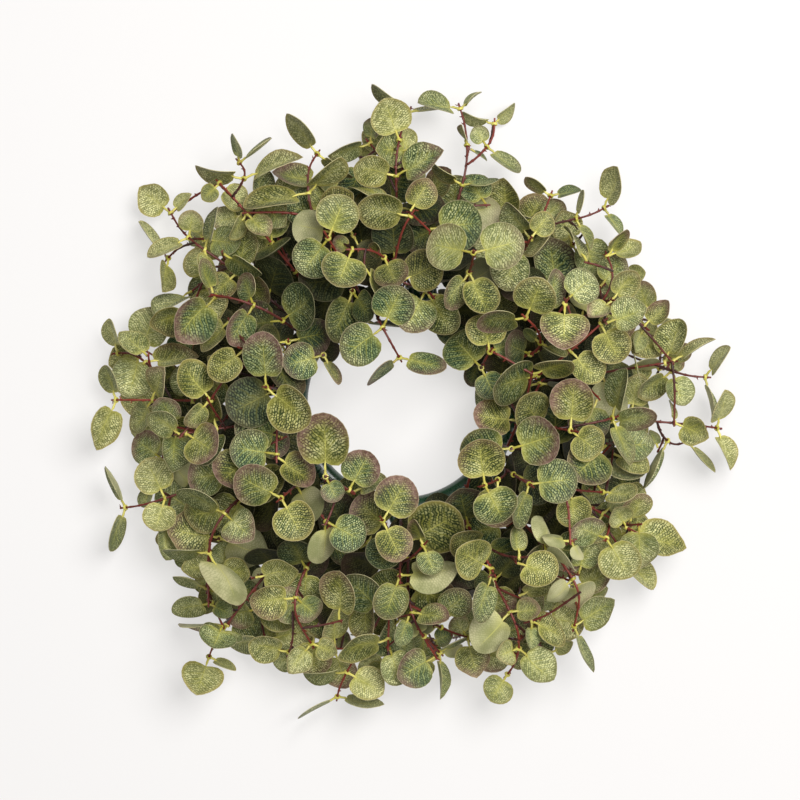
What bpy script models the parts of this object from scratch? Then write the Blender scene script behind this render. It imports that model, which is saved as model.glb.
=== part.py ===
"""An artificial eucalyptus wreath that lies flat: a plastic ring with sprays pushed into it, each a thin
stem with forks and round leaves in pairs.

X runs to the right of the picture, Y up the picture and Z towards the viewer. All sizes are in metres.
"""

import math
import random
from collections import namedtuple

import bmesh
import bpy
import numpy as np
from mathutils import Matrix, Vector
from mathutils.bvhtree import BVHTree

# The ring
RING_RADIUS = 0.0845
TUBE_RADIUS = 0.0085
TUBE_SIDES = 8
RING_STEPS = 36
HOLE_DEPTH = 0.0045
HOLE_RADIUS = 0.0031
HOLE_SIDES = 4
CLEARANCE = 0.0003

# The stems, as the radius of a four-sided rod to its corners
FOOT_RADIUS = 0.0019
TIP_RADIUS = 0.0011
STUB = 0.005
FINE_CUTS = 24
BENDS = 12
BEND_MORE = 0.05
FOOT_ROWS = {"outer": 20, "crown": 78, "inner": 140}
FOOT_GAP = 7.5

# The leaves
THICKNESS = 0.0008
WIDE = 1.08
STALK = 0.0025
STALK_SHARE = 0.10
ROOT_HALF = 0.0006
NECK_HALF = 0.0011
CUP = 0.06
ROUNDING = 1.04
RIM_ANGLES = np.radians([48, 100, 152, 208, 260, 312])
LONGEST = 0.045
SHORTEST = 0.013

# The rule for the pairs between those that the picture shows
PAIR_STEP = 0.028
FIRST_PAIR = 0.014
FORK_PAIR = 0.010
FULL_LEAF = 0.039
KEPT_OPEN = 0.070
FULL_REACH = 0.195
SPOTS_SEEN = 4
TRIES = 20
SEED = 20

# Fatness of the shapes that keep leaves and stems apart
LEAF_GUARD = 0.0010
STEM_GUARD = 0.0011
FLOOR_GUARD = 0.0016

# How the picture is read: its pixel at the middle of the ring, the real size of a pixel, and the eye's height
CENTRE_U = 402
CENTRE_V = 403
PIXEL = 0.00079
PICTURE_LEVEL = 0.045
EYE = 2.0

# The colours: sprays of the outer row are paler than those near the hole
LEAF_COLOURS = {
    "outer": (0.150, 0.195, 0.075, 1),
    "crown": (0.115, 0.165, 0.062, 1),
    "inner": (0.090, 0.140, 0.060, 1),
}
RING_COLOUR = (0.012, 0.060, 0.038, 1)

Twig = namedtuple("Twig", "row pairs")
Fork = namedtuple("Fork", "twig share pairs")
Pair = namedtuple("Pair", "u v rise first second")
Leaf = namedtuple("Leaf", "eyelet along across facing length width stalk")
Body = namedtuple("Body", "tree centre reach")

# Each spray is a twig and its forks. A pair holds the pixel and the height in millimetres of its eyelet,
# and for each leaf the pixel of its tip and the width that shows, in pixels. "under" shows its lower face.
SPRAYS = [
    [
        Twig("outer", [Pair(396, 176, 46, (441, 150, 34), (354, 168, 30)),
                       Pair(397, 141, 40, (384, 100, 42), None),
                       Pair(409, 112, 34, (371, 88, 7), (452, 104, 9))]),
        Fork(0, 0.55, [Pair(370, 141, 30, (330, 158, 13), (372, 118, 16))]),
    ],
    [
        Twig("outer", [Pair(462, 185, 50, (430, 165, 8), (498, 181, 9)),
                       Pair(470, 147, 40, (458, 123, 4), (488, 158, 5)),
                       Pair(460, 109, 36, (417, 101, 22), (480, 90, 5))]),
        Fork(0, 0.62, [Pair(491, 152, 32, (474, 126, 20), (520, 172, 17)),
                       Pair(494, 124, 26, (462, 116, 6), (518, 104, 10))]),
    ],
    [
        Twig("outer", [Pair(531, 240, 56, (503, 206, 22), (553, 212, 30)),
                       Pair(550, 196, 44, (525, 178, 9), (580, 189, 12))]),
        Fork(0, 0.66, [Pair(576, 222, 40, (583, 190, 4), (592, 247, 12)),
                       Pair(604, 208, 32, (617, 165, 22), (622, 234, 13))]),
    ],
    [
        Twig("outer", [Pair(611, 301, 52, (640, 268, 32), (585, 318, 20)),
                       Pair(606, 257, 44, (627, 229, 14), (643, 240, 25))]),
        Fork(0, 0.60, [Pair(646, 326, 34, (668, 302, 20), (636, 352, 16))]),
    ],
    [
        Twig("outer", [Pair(672, 362, 44, (678, 318, 28), (718, 333, 8))]),
        Fork(0, 0.70, [Pair(668, 374, 30, (685, 405, 30), (640, 398, 24)),
                       Pair(705, 377, 24, (728, 345, 10), (715, 418, 7))]),
    ],
    [
        Twig("outer", [Pair(675, 423, 40, (672, 399, 7), (708, 438, 30)),
                       Pair(716, 428, 28, (725, 387, 23), (733, 467, 19))]),
        Fork(0, 0.62, [Pair(660, 449, 28, (645, 488, 7), (652, 430, 12)),
                       Pair(687, 441, 20, (714, 471, 9), None)]),
    ],
    [
        Twig("outer", [Pair(632, 530, 44, (687, 545, 36), (610, 502, 27))]),
        Fork(0, 0.66, [Pair(623, 553, 30, (655, 588, 23), (600, 566, 14))]),
    ],
    [
        Twig("outer", [Pair(575, 578, 60, (582, 617, 44, "under"), (548, 600, 20, "under")),
                       Pair(573, 626, 40, (592, 670, 11), (614, 602, 34))]),
        Fork(0, 0.70, [Pair(530, 623, 46, (572, 642, 26), (532, 648, 16))]),
    ],
    [
        Twig("outer", [Pair(510, 612, 58, (474, 648, 42, "under"), (540, 608, 22)),
                       Pair(524, 647, 44, (553, 678, 34), (498, 654, 26)),
                       Pair(507, 674, 30, (488, 702, 32), None)]),
    ],
    [
        Twig("outer", [Pair(410, 613, 60, (450, 616, 20), (399, 646, 20)),
                       Pair(440, 652, 32, (444, 696, 9), (468, 634, 8))]),
        Fork(0, 0.50, [Pair(470, 640, 30, (476, 675, 36), (452, 616, 22))]),
    ],
    [
        Twig("outer", [Pair(388, 645, 52, (338, 655, 28), (403, 690, 38))]),
        Fork(0, 0.60, [Pair(345, 672, 36, (305, 677, 16), (383, 692, 33)),
                       Pair(338, 696, 24, (298, 717, 7), (382, 704, 8))]),
    ],
    [
        Twig("outer", [Pair(293, 597, 62, (251, 603, 36), (320, 620, 30)),
                       Pair(312, 643, 44, (290, 672, 26), (336, 652, 24))]),
        Fork(0, 0.70, [Pair(290, 654, 30, (249, 645, 30), None)]),
    ],
    [
        Twig("outer", [Pair(226, 625, 36, (161, 632, 15), (215, 656, 42)),
                       Pair(210, 656, 24, (200, 688, 43), (236, 669, 6))]),
        Fork(0, 0.66, [Pair(210, 604, 46, (172, 612, 24), (236, 616, 20))]),
    ],
    [
        Twig("outer", [Pair(222, 511, 60, (178, 490, 20), (252, 536, 38)),
                       Pair(209, 552, 50, (165, 553, 13), (243, 608, 26, "under")),
                       Pair(207, 588, 40, (174, 577, 12), (228, 600, 24))]),
    ],
    [
        Twig("outer", [Pair(165, 499, 34, (145, 458, 40), (155, 536, 34)),
                       Pair(126, 507, 24, (106, 468, 8), (112, 551, 10))]),
    ],
    [
        Twig("outer", [Pair(152, 400, 40, (166, 362, 26), (128, 432, 24)),
                       Pair(117, 400, 30, (104, 366, 19), (98, 448, 26))]),
        Fork(0, 0.58, [Pair(150, 356, 38, (120, 328, 24), (197, 352, 24)),
                       Pair(118, 354, 28, (107, 320, 17), None)]),
    ],
    [
        Twig("outer", [Pair(205, 249, 44, (215, 290, 14), (216, 208, 14)),
                       Pair(190, 245, 38, (148, 255, 19), (194, 212, 26)),
                       Pair(171, 213, 30, (136, 187, 37), (190, 194, 15))]),
        Fork(0, 0.60, [Pair(167, 257, 24, (138, 218, 5), (166, 296, 14))]),
    ],
    [
        Twig("outer", [Pair(247, 213, 50, (232, 240, 12), (272, 236, 24)),
                       Pair(220, 184, 40, (203, 200, 18), (246, 206, 28))]),
        Fork(0, 0.72, [Pair(252, 181, 36, (298, 154, 22), (196, 171, 11)),
                       Pair(239, 163, 28, (234, 132, 10), (271, 138, 5))]),
    ],
    [
        Twig("outer", [Pair(304, 193, 52, (243, 204, 26), (348, 159, 17)),
                       Pair(318, 155, 36, (287, 116, 17), (352, 178, 7))]),
    ],
    [
        Twig("crown", [Pair(390, 253, 60, (370, 246, 10), (397, 287, 36)),
                       Pair(352, 250, 72, (338, 287, 46), (333, 237, 18))]),
        Fork(0, 0.34, [Pair(410, 214, 66, (433, 178, 34), (358, 208, 34))]),
    ],
    [
        Twig("crown", [Pair(327, 236, 82, (346, 192, 44), (300, 273, 43))]),
    ],
    [
        Twig("crown", [Pair(470, 272, 66, (490, 313, 36), (446, 308, 24)),
                       Pair(473, 253, 94, (434, 243, 48), (524, 240, 48))]),
    ],
    [
        Twig("crown", [Pair(548, 345, 66, (568, 358, 10), (525, 331, 9)),
                       Pair(525, 318, 86, (541, 281, 44), (477, 325, 21))]),
        Fork(0, 0.40, [Pair(565, 302, 80, (598, 272, 44), (562, 347, 50))]),
    ],
    [
        Twig("crown", [Pair(537, 378, 56, (482, 392, 38), (584, 364, 22)),
                       Pair(603, 322, 66, (619, 362, 40), (648, 303, 40))]),
    ],
    [
        Twig("crown", [Pair(573, 431, 82, (573, 379, 43), (606, 456, 38))]),
        Fork(0, 0.55, [Pair(615, 418, 60, (622, 369, 18), (631, 463, 21))]),
    ],
    [
        Twig("crown", [Pair(512, 449, 76, (557, 434, 50), (460, 450, 44))]),
        Fork(0, 0.45, [Pair(520, 421, 54, (473, 414, 36), (548, 398, 30))]),
    ],
    [
        Twig("crown", [Pair(530, 485, 80, (580, 478, 45), (516, 528, 20))]),
        Fork(0, 0.34, [Pair(485, 486, 90, (478, 439, 48), (503, 520, 46))]),
        Fork(0, 0.67, [Pair(607, 493, 52, (641, 494, 20), (582, 466, 16))]),
    ],
    [
        Twig("crown", [Pair(493, 572, 70, (479, 620, 26), (452, 545, 44))]),
        Fork(0, 0.50, [Pair(519, 560, 76, (566, 572, 40), (517, 526, 18)),
                       Pair(571, 541, 66, (539, 538, 14, "under"), (581, 560, 12, "under"))]),
    ],
    [
        Twig("crown", [Pair(400, 578, 66, (384, 623, 38), (458, 572, 30, "under"))]),
        Fork(0, 0.45, [Pair(382, 521, 86, (409, 477, 45), (402, 560, 36))]),
        Fork(0, 0.60, [Pair(424, 546, 70, (436, 576, 26), (412, 520, 14))]),
    ],
    [
        Twig("crown", [Pair(280, 499, 86, (236, 474, 43), (304, 538, 43))]),
        Fork(0, 0.45, [Pair(326, 523, 72, (320, 567, 28, "under"), (367, 545, 42))]),
    ],
    [
        Twig("crown", [Pair(325, 477, 84, (323, 413, 53), (338, 502, 24))]),
        Fork(0, 0.50, [Pair(350, 490, 70, (370, 452, 40), (388, 472, 20))]),
    ],
    [
        Twig("crown", [Pair(265, 387, 90, (262, 332, 42), (307, 426, 44))]),
        Fork(0, 0.40, [Pair(276, 457, 72, (230, 447, 43), (314, 482, 32))]),
    ],
    [
        Twig("crown", [Pair(180, 434, 60, (218, 452, 44), (143, 411, 30))]),
        Fork(0, 0.70, [Pair(174, 428, 48, (160, 396, 28), (176, 470, 30))]),
    ],
    [
        Twig("crown", [Pair(243, 349, 74, (210, 376, 34), (224, 400, 13))]),
        Fork(0, 0.60, [Pair(208, 402, 60, (183, 362, 34), (184, 430, 20))]),
    ],
    [
        Twig("crown", [Pair(255, 303, 66, (231, 345, 26), (240, 272, 22)),
                       Pair(216, 297, 58, (179, 340, 40), (204, 259, 14))]),
    ],
    [
        Twig("inner", [Pair(379, 321, 84, (343, 358, 42), (402, 288, 44)),
                       Pair(399, 357, 66, (367, 384, 9), (446, 368, 23))]),
    ],
    [
        Twig("inner", [Pair(325, 356, 56, (284, 366, 38), (340, 384, 10))]),
    ],
    [
        Twig("inner", [Pair(478, 372, 54, (452, 334, 46), (496, 398, 30)),
                       Pair(490, 352, 72, (484, 308, 42), (514, 344, 26))]),
    ],
    [
        Twig("crown", [Pair(352, 292, 46, (334, 342, 32), (374, 322, 26))]),
    ],
    [
        Twig("crown", [Pair(424, 287, 50, (406, 331, 44), (452, 334, 36)),
                       Pair(432, 296, 62, (468, 300, 16), None)]),
    ],
]


def unit(vector):
    return vector / np.linalg.norm(vector)


def picture_scale(rise):
    return PIXEL * (EYE - rise) / (EYE - PICTURE_LEVEL)


def at(u, v, rise):
    """The place, at a height, that the eye sees at a pixel."""
    scale = picture_scale(rise)
    return np.array([(u - CENTRE_U) * scale, (CENTRE_V - v) * scale, rise])


def spread(bearings):
    """Bearings in degrees, moved apart round the circle until neighbours are FOOT_GAP apart."""
    placed = np.array(bearings, float)
    for _ in range(200):
        order = np.argsort(placed)
        gaps = (np.roll(placed[order], -1) - placed[order]) % 360
        push = np.clip(FOOT_GAP - gaps, 0, None) / 2
        if push.max() < 0.01:
            break
        placed[order] -= push
        placed[np.roll(order, -1)] += push
    return placed


def foot_frame(bearing, lift, goal):
    """The point on the ring where a foot stands, and its direction, leaning towards the first pair."""
    turn, up = math.radians(bearing), math.radians(lift)
    outward = np.array([math.cos(turn), math.sin(turn), 0])
    normal = math.cos(up) * outward + np.array([0, 0, math.sin(up)])
    point = RING_RADIUS * outward + [0, 0, TUBE_RADIUS] + TUBE_RADIUS * normal
    return point, unit(normal + 0.35 * unit(goal - point))


def smooth_course(points, start, end):
    """Closely spaced points of a smooth curve, a cubic for each gap, and the index of each given point."""
    points = np.array(points)
    slopes = np.empty_like(points)
    slopes[1:-1] = (points[2:] - points[:-2]) / 2
    slopes[0] = start * np.linalg.norm(points[1] - points[0])
    slopes[-1] = end * np.linalg.norm(points[-1] - points[-2])
    t = (np.arange(1, FINE_CUTS + 1) / FINE_CUTS)[:, None]
    course = [points[:1]]
    for here, there, leave, arrive in zip(points, points[1:], slopes, slopes[1:]):
        course.append((2 * t**3 - 3 * t**2 + 1) * here + (t**3 - 2 * t**2 + t) * leave
                      + (3 * t**2 - 2 * t**3) * there + (t**3 - t**2) * arrive)
    return np.vstack(course), FINE_CUTS * np.arange(len(points))


def lay_stem(points, start, end, clear):
    """The straight steps of a stem and the pairs on it. A pair sits in the middle of each step: the given
    points have one each, and the gaps between them are shared out in steps of about PAIR_STEP."""
    course, given = smooth_course(points, start, end)
    run = np.concatenate([[0], np.cumsum(np.linalg.norm(np.diff(course, axis=0), axis=1))])
    seats = []
    last = clear
    for number, index in enumerate(given[1:-1]):
        gap = run[index] - last
        more = max(0, round(gap / PAIR_STEP) - 1)
        seats += [(last + gap * (k + 1) / (more + 1), None) for k in range(more)]
        seats.append((run[index], number))
        last = run[index]
    middles = [(a[0] + b[0]) / 2 for a, b in zip(seats, seats[1:])]
    knots = [0.0, max(clear / 2, seats[0][0] - PAIR_STEP / 2), *middles, run[-1]]
    path = np.column_stack([np.interp(knots, run, course[:, k]) for k in range(3)])
    found = []
    for step, (place, number) in enumerate(seats):
        low, high = knots[step + 1], knots[step + 2]
        share = (place - low) / (high - low)
        spot = path[step + 1] * (1 - share) + path[step + 2] * share
        found.append((spot, unit(path[step + 2] - path[step + 1]), number))
    return path, found


def solid_body(points, faces):
    centre = points.mean(axis=0)
    reach = float(np.linalg.norm(points - centre, axis=1).max())
    return Body(BVHTree.FromPolygons(points.tolist(), faces, all_triangles=True), centre, reach)


class Crowd:
    """The bodies that stand already, so that a new one can be kept clear of them."""

    def __init__(self):
        self.trees = []
        self.centres = np.empty((0, 3))
        self.reaches = np.empty(0)

    def add(self, body):
        self.trees.append(body.tree)
        self.centres = np.vstack([self.centres, body.centre])
        self.reaches = np.append(self.reaches, body.reach)

    def free(self, body):
        near = np.linalg.norm(self.centres - body.centre, axis=1) < self.reaches + body.reach
        return not any(body.tree.overlap(self.trees[i]) for i in np.flatnonzero(near))


def stem_bodies(path):
    """A square rod, fatter than the stem by STEM_GUARD, for each step of its path."""
    faces = [(a, (a + 1) % 4, (a + 1) % 4 + 4) for a in range(4)]
    faces += [(a, (a + 1) % 4 + 4, a + 4) for a in range(4)]
    bodies = []
    for here, there in zip(path, path[1:]):
        along = unit(there - here)
        side = unit(np.cross(along, [0.31, 0.95, 0.05]))
        other = np.cross(along, side)
        ring = np.array([side, other, -side, -other]) * (TIP_RADIUS + STEM_GUARD)
        bodies.append(solid_body(np.vstack([here + ring, there + ring]), faces))
    return bodies


def leaf_cage(leaf, root, grow=0.0):
    """The leaf's ten outline points and its sunk middle, in its own plane: a stalk, a neck and a round blade."""
    middle = leaf.stalk + leaf.length / 2
    x = middle - (ROUNDING * leaf.length / 2 + grow) * np.cos(RIM_ANGLES)
    y = -(ROUNDING * leaf.width / 2 + grow) * np.sin(RIM_ANGLES)
    x = np.concatenate([[root, leaf.stalk], x, [leaf.stalk, root, middle]])
    root_side, neck_side = ROOT_HALF + grow, NECK_HALF + grow
    y = np.concatenate([[-root_side, -neck_side], y, [neck_side, root_side, 0]])
    z = np.zeros(11)
    z[10] = -CUP * leaf.length
    return x, y, z


CAGE_POINTS = 11
CAGE_FACES = [(10, i, i + 1) for i in range(1, 8)] + [(10, 8, 1), (0, 1, 8), (0, 8, 9)]


def leaf_points(leaf, cage):
    x, y, z = cage
    return leaf.eyelet + np.outer(x, leaf.along) + np.outer(y, leaf.across) + np.outer(z, leaf.facing)


def leaf_body(leaf):
    """A closed slab round the leaf, from just outside its stem, LEAF_GUARD thick on each face."""
    x, y, z = leaf_cage(leaf, 0.0028, LEAF_GUARD / 2)
    points = np.vstack([leaf_points(leaf, (x, y, z + side * LEAF_GUARD)) for side in (1, -1)])
    faces = CAGE_FACES + [(a + 11, c + 11, b + 11) for a, b, c in CAGE_FACES]
    for a in range(10):
        b = (a + 1) % 10
        faces += [(a, a + 11, b + 11), (a, b + 11, b)]
    return solid_body(points, faces)


def framed_leaf(eyelet, along, facing, length, width):
    along = unit(along)
    facing = unit(facing - along * (facing @ along))
    stalk = STALK + STALK_SHARE * length
    return Leaf(eyelet, along, np.cross(facing, along), facing, length, width, stalk)


def pictured_leaf(eyelet, goal, pitch_more, lift, roll_side, shrink):
    """The leaf whose tip and visible width are given: face on it is tipped up or down to shorten it, and
    narrow it is rolled about its own length."""
    scale = picture_scale(eyelet[2])
    tip = at(goal[0], goal[1], eyelet[2])
    heading = unit(tip - eyelet)
    span = float(np.linalg.norm(tip - eyelet))
    shown = goal[2] * scale
    flat_length = (span - STALK) / (1 + STALK_SHARE)
    if shown > 0.95 * WIDE * flat_length:
        length = min(shown / WIDE, LONGEST)
        pitch = math.acos(min(1.0, span / (STALK + (1 + STALK_SHARE) * length)))
        roll = 0.0
    else:
        pitch = math.radians(8)
        length = min((span / math.cos(pitch) - STALK) / (1 + STALK_SHARE), LONGEST)
        roll = math.acos(min(1.0, shown / (WIDE * length)))
        roll = min(roll, math.radians(80))
    pitch = lift * pitch + math.radians(pitch_more)
    length = max(length * shrink, SHORTEST)
    along = heading * math.cos(pitch) + np.array([0, 0, math.sin(pitch)])
    level = np.array([0, 0, math.cos(pitch)]) - heading * math.sin(pitch)
    facing = level * math.cos(roll) + roll_side * math.sin(roll) * np.cross(level, along)
    if len(goal) > 3:
        facing = -facing
    return framed_leaf(eyelet, along, facing, length, WIDE * length)


def pictured_choices(eyelet, goal):
    """The leaf as pictured first, and then as near to it as there is room for."""
    for shrink in (1.0, 0.92, 0.84, 0.74):
        for pitch_more in (0, 7, -7, 14, -14, 22, -22, 30):
            for lift in (1, -1):
                for roll_side in (1, -1):
                    yield pictured_leaf(eyelet, goal, pitch_more, lift, roll_side, shrink)


def ruled_choices(eyelet, stem, turn, side, size, draw):
    """Leaves at right angles to the stem and leaning forward, half turned to the light, each try a little
    further from that."""
    flat = np.cross([0, 0, 1], stem)
    flat = unit(flat) if np.linalg.norm(flat) > 0.15 else np.array([1.0, 0, 0])
    steep = np.cross(stem, flat)
    for attempt in range(TRIES):
        loose = 0.4 + attempt / TRIES
        angle = turn + draw.uniform(-0.7, 0.7) * loose
        lean = draw.uniform(0.05, 0.75)
        light = draw.uniform(0.25, 0.95)
        length = size * draw.uniform(0.86, 1.08) * (1 - 0.34 * attempt / TRIES)
        across = side * (math.cos(angle) * flat + math.sin(angle) * steep)
        across = across - [0, 0, 0.45 * across[2]]
        along = unit(across) * math.cos(lean) + stem * math.sin(lean)
        facing = stem * (1 - light) + np.array([0, 0, light])
        if draw.random() < 0.07:
            facing = -facing
        if np.linalg.norm(np.cross(facing, unit(along))) > 0.2:
            yield framed_leaf(eyelet, along, facing, length, WIDE * length)


def roomy(leaf, limit):
    """True for a leaf that stays above the floor and, where a limit is set, off the hole and inside the rim."""
    points = leaf_points(leaf, leaf_cage(leaf, 0))
    if points[:, 2].min() < FLOOR_GUARD:
        return False
    out = np.linalg.norm(points[:, :2], axis=1)
    return not limit or (out.min() > KEPT_OPEN and out.max() < FULL_REACH)


def shows(leaf, shown):
    """True for a leaf that covers none of the pictured ones and that the eye sees past them."""
    spots = leaf_points(leaf, leaf_cage(leaf, leaf.stalk))[1:-2]
    if any(shown.ray_cast(spot.tolist(), (0, 0, -1))[0] is not None for spot in spots):
        return False
    return sum(shown.ray_cast(spot.tolist(), (0, 0, 1))[0] is None for spot in spots) >= SPOTS_SEEN


def foot_bearings():
    """The bearing of each spray's foot: that of its first pair, with each row of feet spread apart."""
    bearings = np.zeros(len(SPRAYS))
    for row in FOOT_ROWS:
        mine = [number for number, spray in enumerate(SPRAYS) if spray[0].row == row]
        firsts = [SPRAYS[number][0].pairs[0] for number in mine]
        bearings[mine] = spread([math.degrees(math.atan2(CENTRE_V - first.v, first.u - CENTRE_U))
                                 for first in firsts])
    return bearings


def grow_stems(draw, crowd):
    """For each spray its stems, each as the straight steps of its path, its foot's direction and its pairs."""
    sprays = []
    for spray, bearing in zip(SPRAYS, foot_bearings()):
        stems = []
        for twig in spray:
            spots = [at(p.u, p.v, p.rise / 1000) for p in twig.pairs]
            rooted = isinstance(twig, Twig)
            if rooted:
                point, start = foot_frame(bearing, FOOT_ROWS[twig.row], spots[0])
            else:
                main = stems[twig.twig][0]
                index = max(1, round(twig.share * (len(main) - 1)))
                point, start = main[index], unit(main[index + 1] - main[index])
            if len(spots) > 1:
                before = spots[-2]
            else:
                before = point + 0.6 * np.linalg.norm(spots[0] - point) * start
            end = unit(spots[-1] - before)
            for attempt in range(BENDS):
                bend = BEND_MORE * attempt * np.array([draw.uniform(-1, 1) for _ in range(3)])
                path, seats = lay_stem([point, *spots, spots[-1] + STUB * end], unit(start + bend), end,
                                       FIRST_PAIR if rooted else FORK_PAIR)
                bodies = stem_bodies(path)
                tested = bodies if rooted else bodies[1:]
                if path[:, 2].min() > FLOOR_GUARD and all(crowd.free(body) for body in tested):
                    break
            for body in bodies:
                crowd.add(body)
            stems.append((path, start if rooted else None, seats))
        sprays.append(stems)
    return sprays


def grow():
    """All sprays as stems and leaves: first the pictured leaves, then those that the rule adds."""
    draw = random.Random(SEED)
    crowd = Crowd()
    sprays = grow_stems(draw, crowd)
    leaves = [[] for _ in SPRAYS]

    def place(number, choices, limit, shown=None):
        for leaf in choices:
            if not roomy(leaf, limit) or (shown and not shows(leaf, shown)):
                continue
            body = leaf_body(leaf)
            if crowd.free(body):
                crowd.add(body)
                leaves[number].append(leaf)
                return

    for number, (spray, stems) in enumerate(zip(SPRAYS, sprays)):
        for twig, (_, _, seats) in zip(spray, stems):
            for spot, _, given in seats:
                goals = twig.pairs[given][3:] if given is not None else ()
                for goal in filter(None, goals):
                    place(number, pictured_choices(spot, goal), False)
    pictured = [leaf for found in leaves for leaf in found]
    points = np.vstack([leaf_points(leaf, leaf_cage(leaf, 0)) for leaf in pictured])
    faces = [(a + base, b + base, c + base) for base in range(0, len(points), CAGE_POINTS)
             for a, b, c in CAGE_FACES]
    shown = BVHTree.FromPolygons(points.tolist(), faces, all_triangles=True)
    for number, stems in enumerate(sprays):
        for _, _, seats in stems:
            turn = draw.uniform(0, math.pi)
            for spot, stem, given in seats:
                turn += math.pi / 2
                if given is not None:
                    continue
                out = float(np.linalg.norm(spot[:2]))
                size = FULL_LEAF * min(1.0, max(0.55, 1.5 - out / 0.24))
                for side in (1, -1):
                    place(number, ruled_choices(spot, stem, turn, side, size, draw), True, shown)
    return list(zip(sprays, leaves))


def material(name, colour, roughness):
    made = bpy.data.materials.new(name)
    made.use_nodes = True
    shader = made.node_tree.nodes["Principled BSDF"]
    shader.inputs["Base Color"].default_value = colour
    shader.inputs["Roughness"].default_value = roughness
    shader.inputs["Metallic"].default_value = 0.0
    return made


def new_object(name, data, collection):
    made = bpy.data.objects.new(name, data)
    collection.objects.link(made)
    return made


def as_mesh(source, name, collection):
    """A new mesh object with the evaluated shape of another, which is removed."""
    graph = bpy.context.evaluated_depsgraph_get()
    mesh = bpy.data.meshes.new_from_object(source.evaluated_get(graph))
    made = new_object(name, mesh, collection)
    made.matrix_world = source.matrix_world
    bpy.data.objects.remove(source)
    return made


def weld(mesh):
    shape = bmesh.new()
    shape.from_mesh(mesh)
    bmesh.ops.remove_doubles(shape, verts=shape.verts, dist=1e-6)
    shape.to_mesh(mesh)
    shape.free()


def make_stem(name, path, collection):
    """A four-sided tube along the path that thins from the foot to the tip."""
    curve = bpy.data.curves.new(name, "CURVE")
    curve.dimensions = "3D"
    curve.bevel_depth = FOOT_RADIUS
    curve.bevel_resolution = 0
    curve.use_fill_caps = True
    spline = curve.splines.new("POLY")
    spline.points.add(len(path) - 1)
    thin = np.linspace(1, TIP_RADIUS / FOOT_RADIUS, len(path))
    for point, place, radius in zip(spline.points, path, thin):
        point.co = (*place, 1)
        point.radius = radius
    stem = as_mesh(new_object(name, curve, collection), name, collection)
    weld(stem.data)
    return stem


def make_leaf(name, leaf, collection):
    """The leaf surface, drawn out along its own facing to a slab of even thickness."""
    shape = bmesh.new()
    for point in leaf_points(leaf, leaf_cage(leaf, 0)) - leaf.facing * THICKNESS / 2:
        shape.verts.new(point)
    shape.verts.ensure_lookup_table()
    for face in CAGE_FACES:
        shape.faces.new([shape.verts[index] for index in face])
    drawn = bmesh.ops.extrude_face_region(shape, geom=[*shape.faces, *shape.edges], use_keep_orig=True)
    upper = [item for item in drawn["geom"] if isinstance(item, bmesh.types.BMVert)]
    bmesh.ops.translate(shape, verts=upper, vec=leaf.facing * THICKNESS)
    bmesh.ops.recalc_face_normals(shape, faces=list(shape.faces))
    mesh = bpy.data.meshes.new(name)
    shape.to_mesh(mesh)
    shape.free()
    return new_object(name, mesh, collection)


def make_spray(name, stems, leaves, colour, collection, pieces):
    """One spray: its leaves and forks joined to its main stem."""
    main = make_stem(name + "_stem", stems[0], collection)
    for number, path in enumerate(stems[1:]):
        make_stem(f"{name}_fork_{number}", path, pieces)
    for number, leaf in enumerate(leaves):
        make_leaf(f"{name}_leaf_{number}", leaf, pieces)
    join = main.modifiers.new("join", "BOOLEAN")
    join.operation = "UNION"
    join.operand_type = "COLLECTION"
    join.collection = pieces
    join.solver = "MANIFOLD"
    spray = as_mesh(main, name, collection)
    for piece in list(pieces.objects):
        bpy.data.objects.remove(piece)
    spray.data.materials.clear()
    spray.data.materials.append(material(name, colour, 0.6))
    return spray


def make_ring(feet, collection, cutters):
    """A tube turned round the Z axis, flat underneath, with a blind hole for each foot."""
    half = math.pi / TUBE_SIDES
    corner = TUBE_RADIUS / math.cos(half)
    profile = [
        (RING_RADIUS + corner * math.cos(a), 0, TUBE_RADIUS + corner * math.sin(a))
        for a in (half - 2 * half * k for k in range(TUBE_SIDES))
    ]
    mesh = bpy.data.meshes.new("ring")
    mesh.from_pydata(profile, [(k, (k + 1) % TUBE_SIDES) for k in range(TUBE_SIDES)], [])
    turned = new_object("ring_turned", mesh, collection)
    screw = turned.modifiers.new("turn", "SCREW")
    screw.steps = RING_STEPS
    screw.render_steps = RING_STEPS
    screw.use_merge_vertices = True
    screw.merge_threshold = 0.00001
    for number, (point, direction) in enumerate(feet):
        make_hole(f"hole_{number}", point, direction, cutters)
    cut = turned.modifiers.new("holes", "BOOLEAN")
    cut.operation = "DIFFERENCE"
    cut.operand_type = "COLLECTION"
    cut.collection = cutters
    return turned


def make_hole(name, point, direction, cutters):
    shape = bmesh.new()
    depth = 2 * (HOLE_DEPTH + CLEARANCE)
    bmesh.ops.create_cone(shape, cap_ends=True, segments=HOLE_SIDES, radius1=HOLE_RADIUS, radius2=HOLE_RADIUS,
                          depth=depth)
    mesh = bpy.data.meshes.new(name)
    shape.to_mesh(mesh)
    shape.free()
    hole = new_object(name, mesh, cutters)
    hole.location = Vector(point)
    hole.rotation_euler = Vector(direction).to_track_quat("Z", "Y").to_euler()
    hole.display_type = "WIRE"
    hole.hide_render = True
    return hole


def centre_in_plan(objects):
    """Moves the meshes sideways together, so that the origin is below the middle of their common box."""
    corners = np.array([vertex.co for made in objects for vertex in made.data.vertices])
    middle = (corners.min(axis=0) + corners.max(axis=0)) / 2
    for made in objects:
        made.data.transform(Matrix.Translation((-middle[0], -middle[1], 0)))


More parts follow.
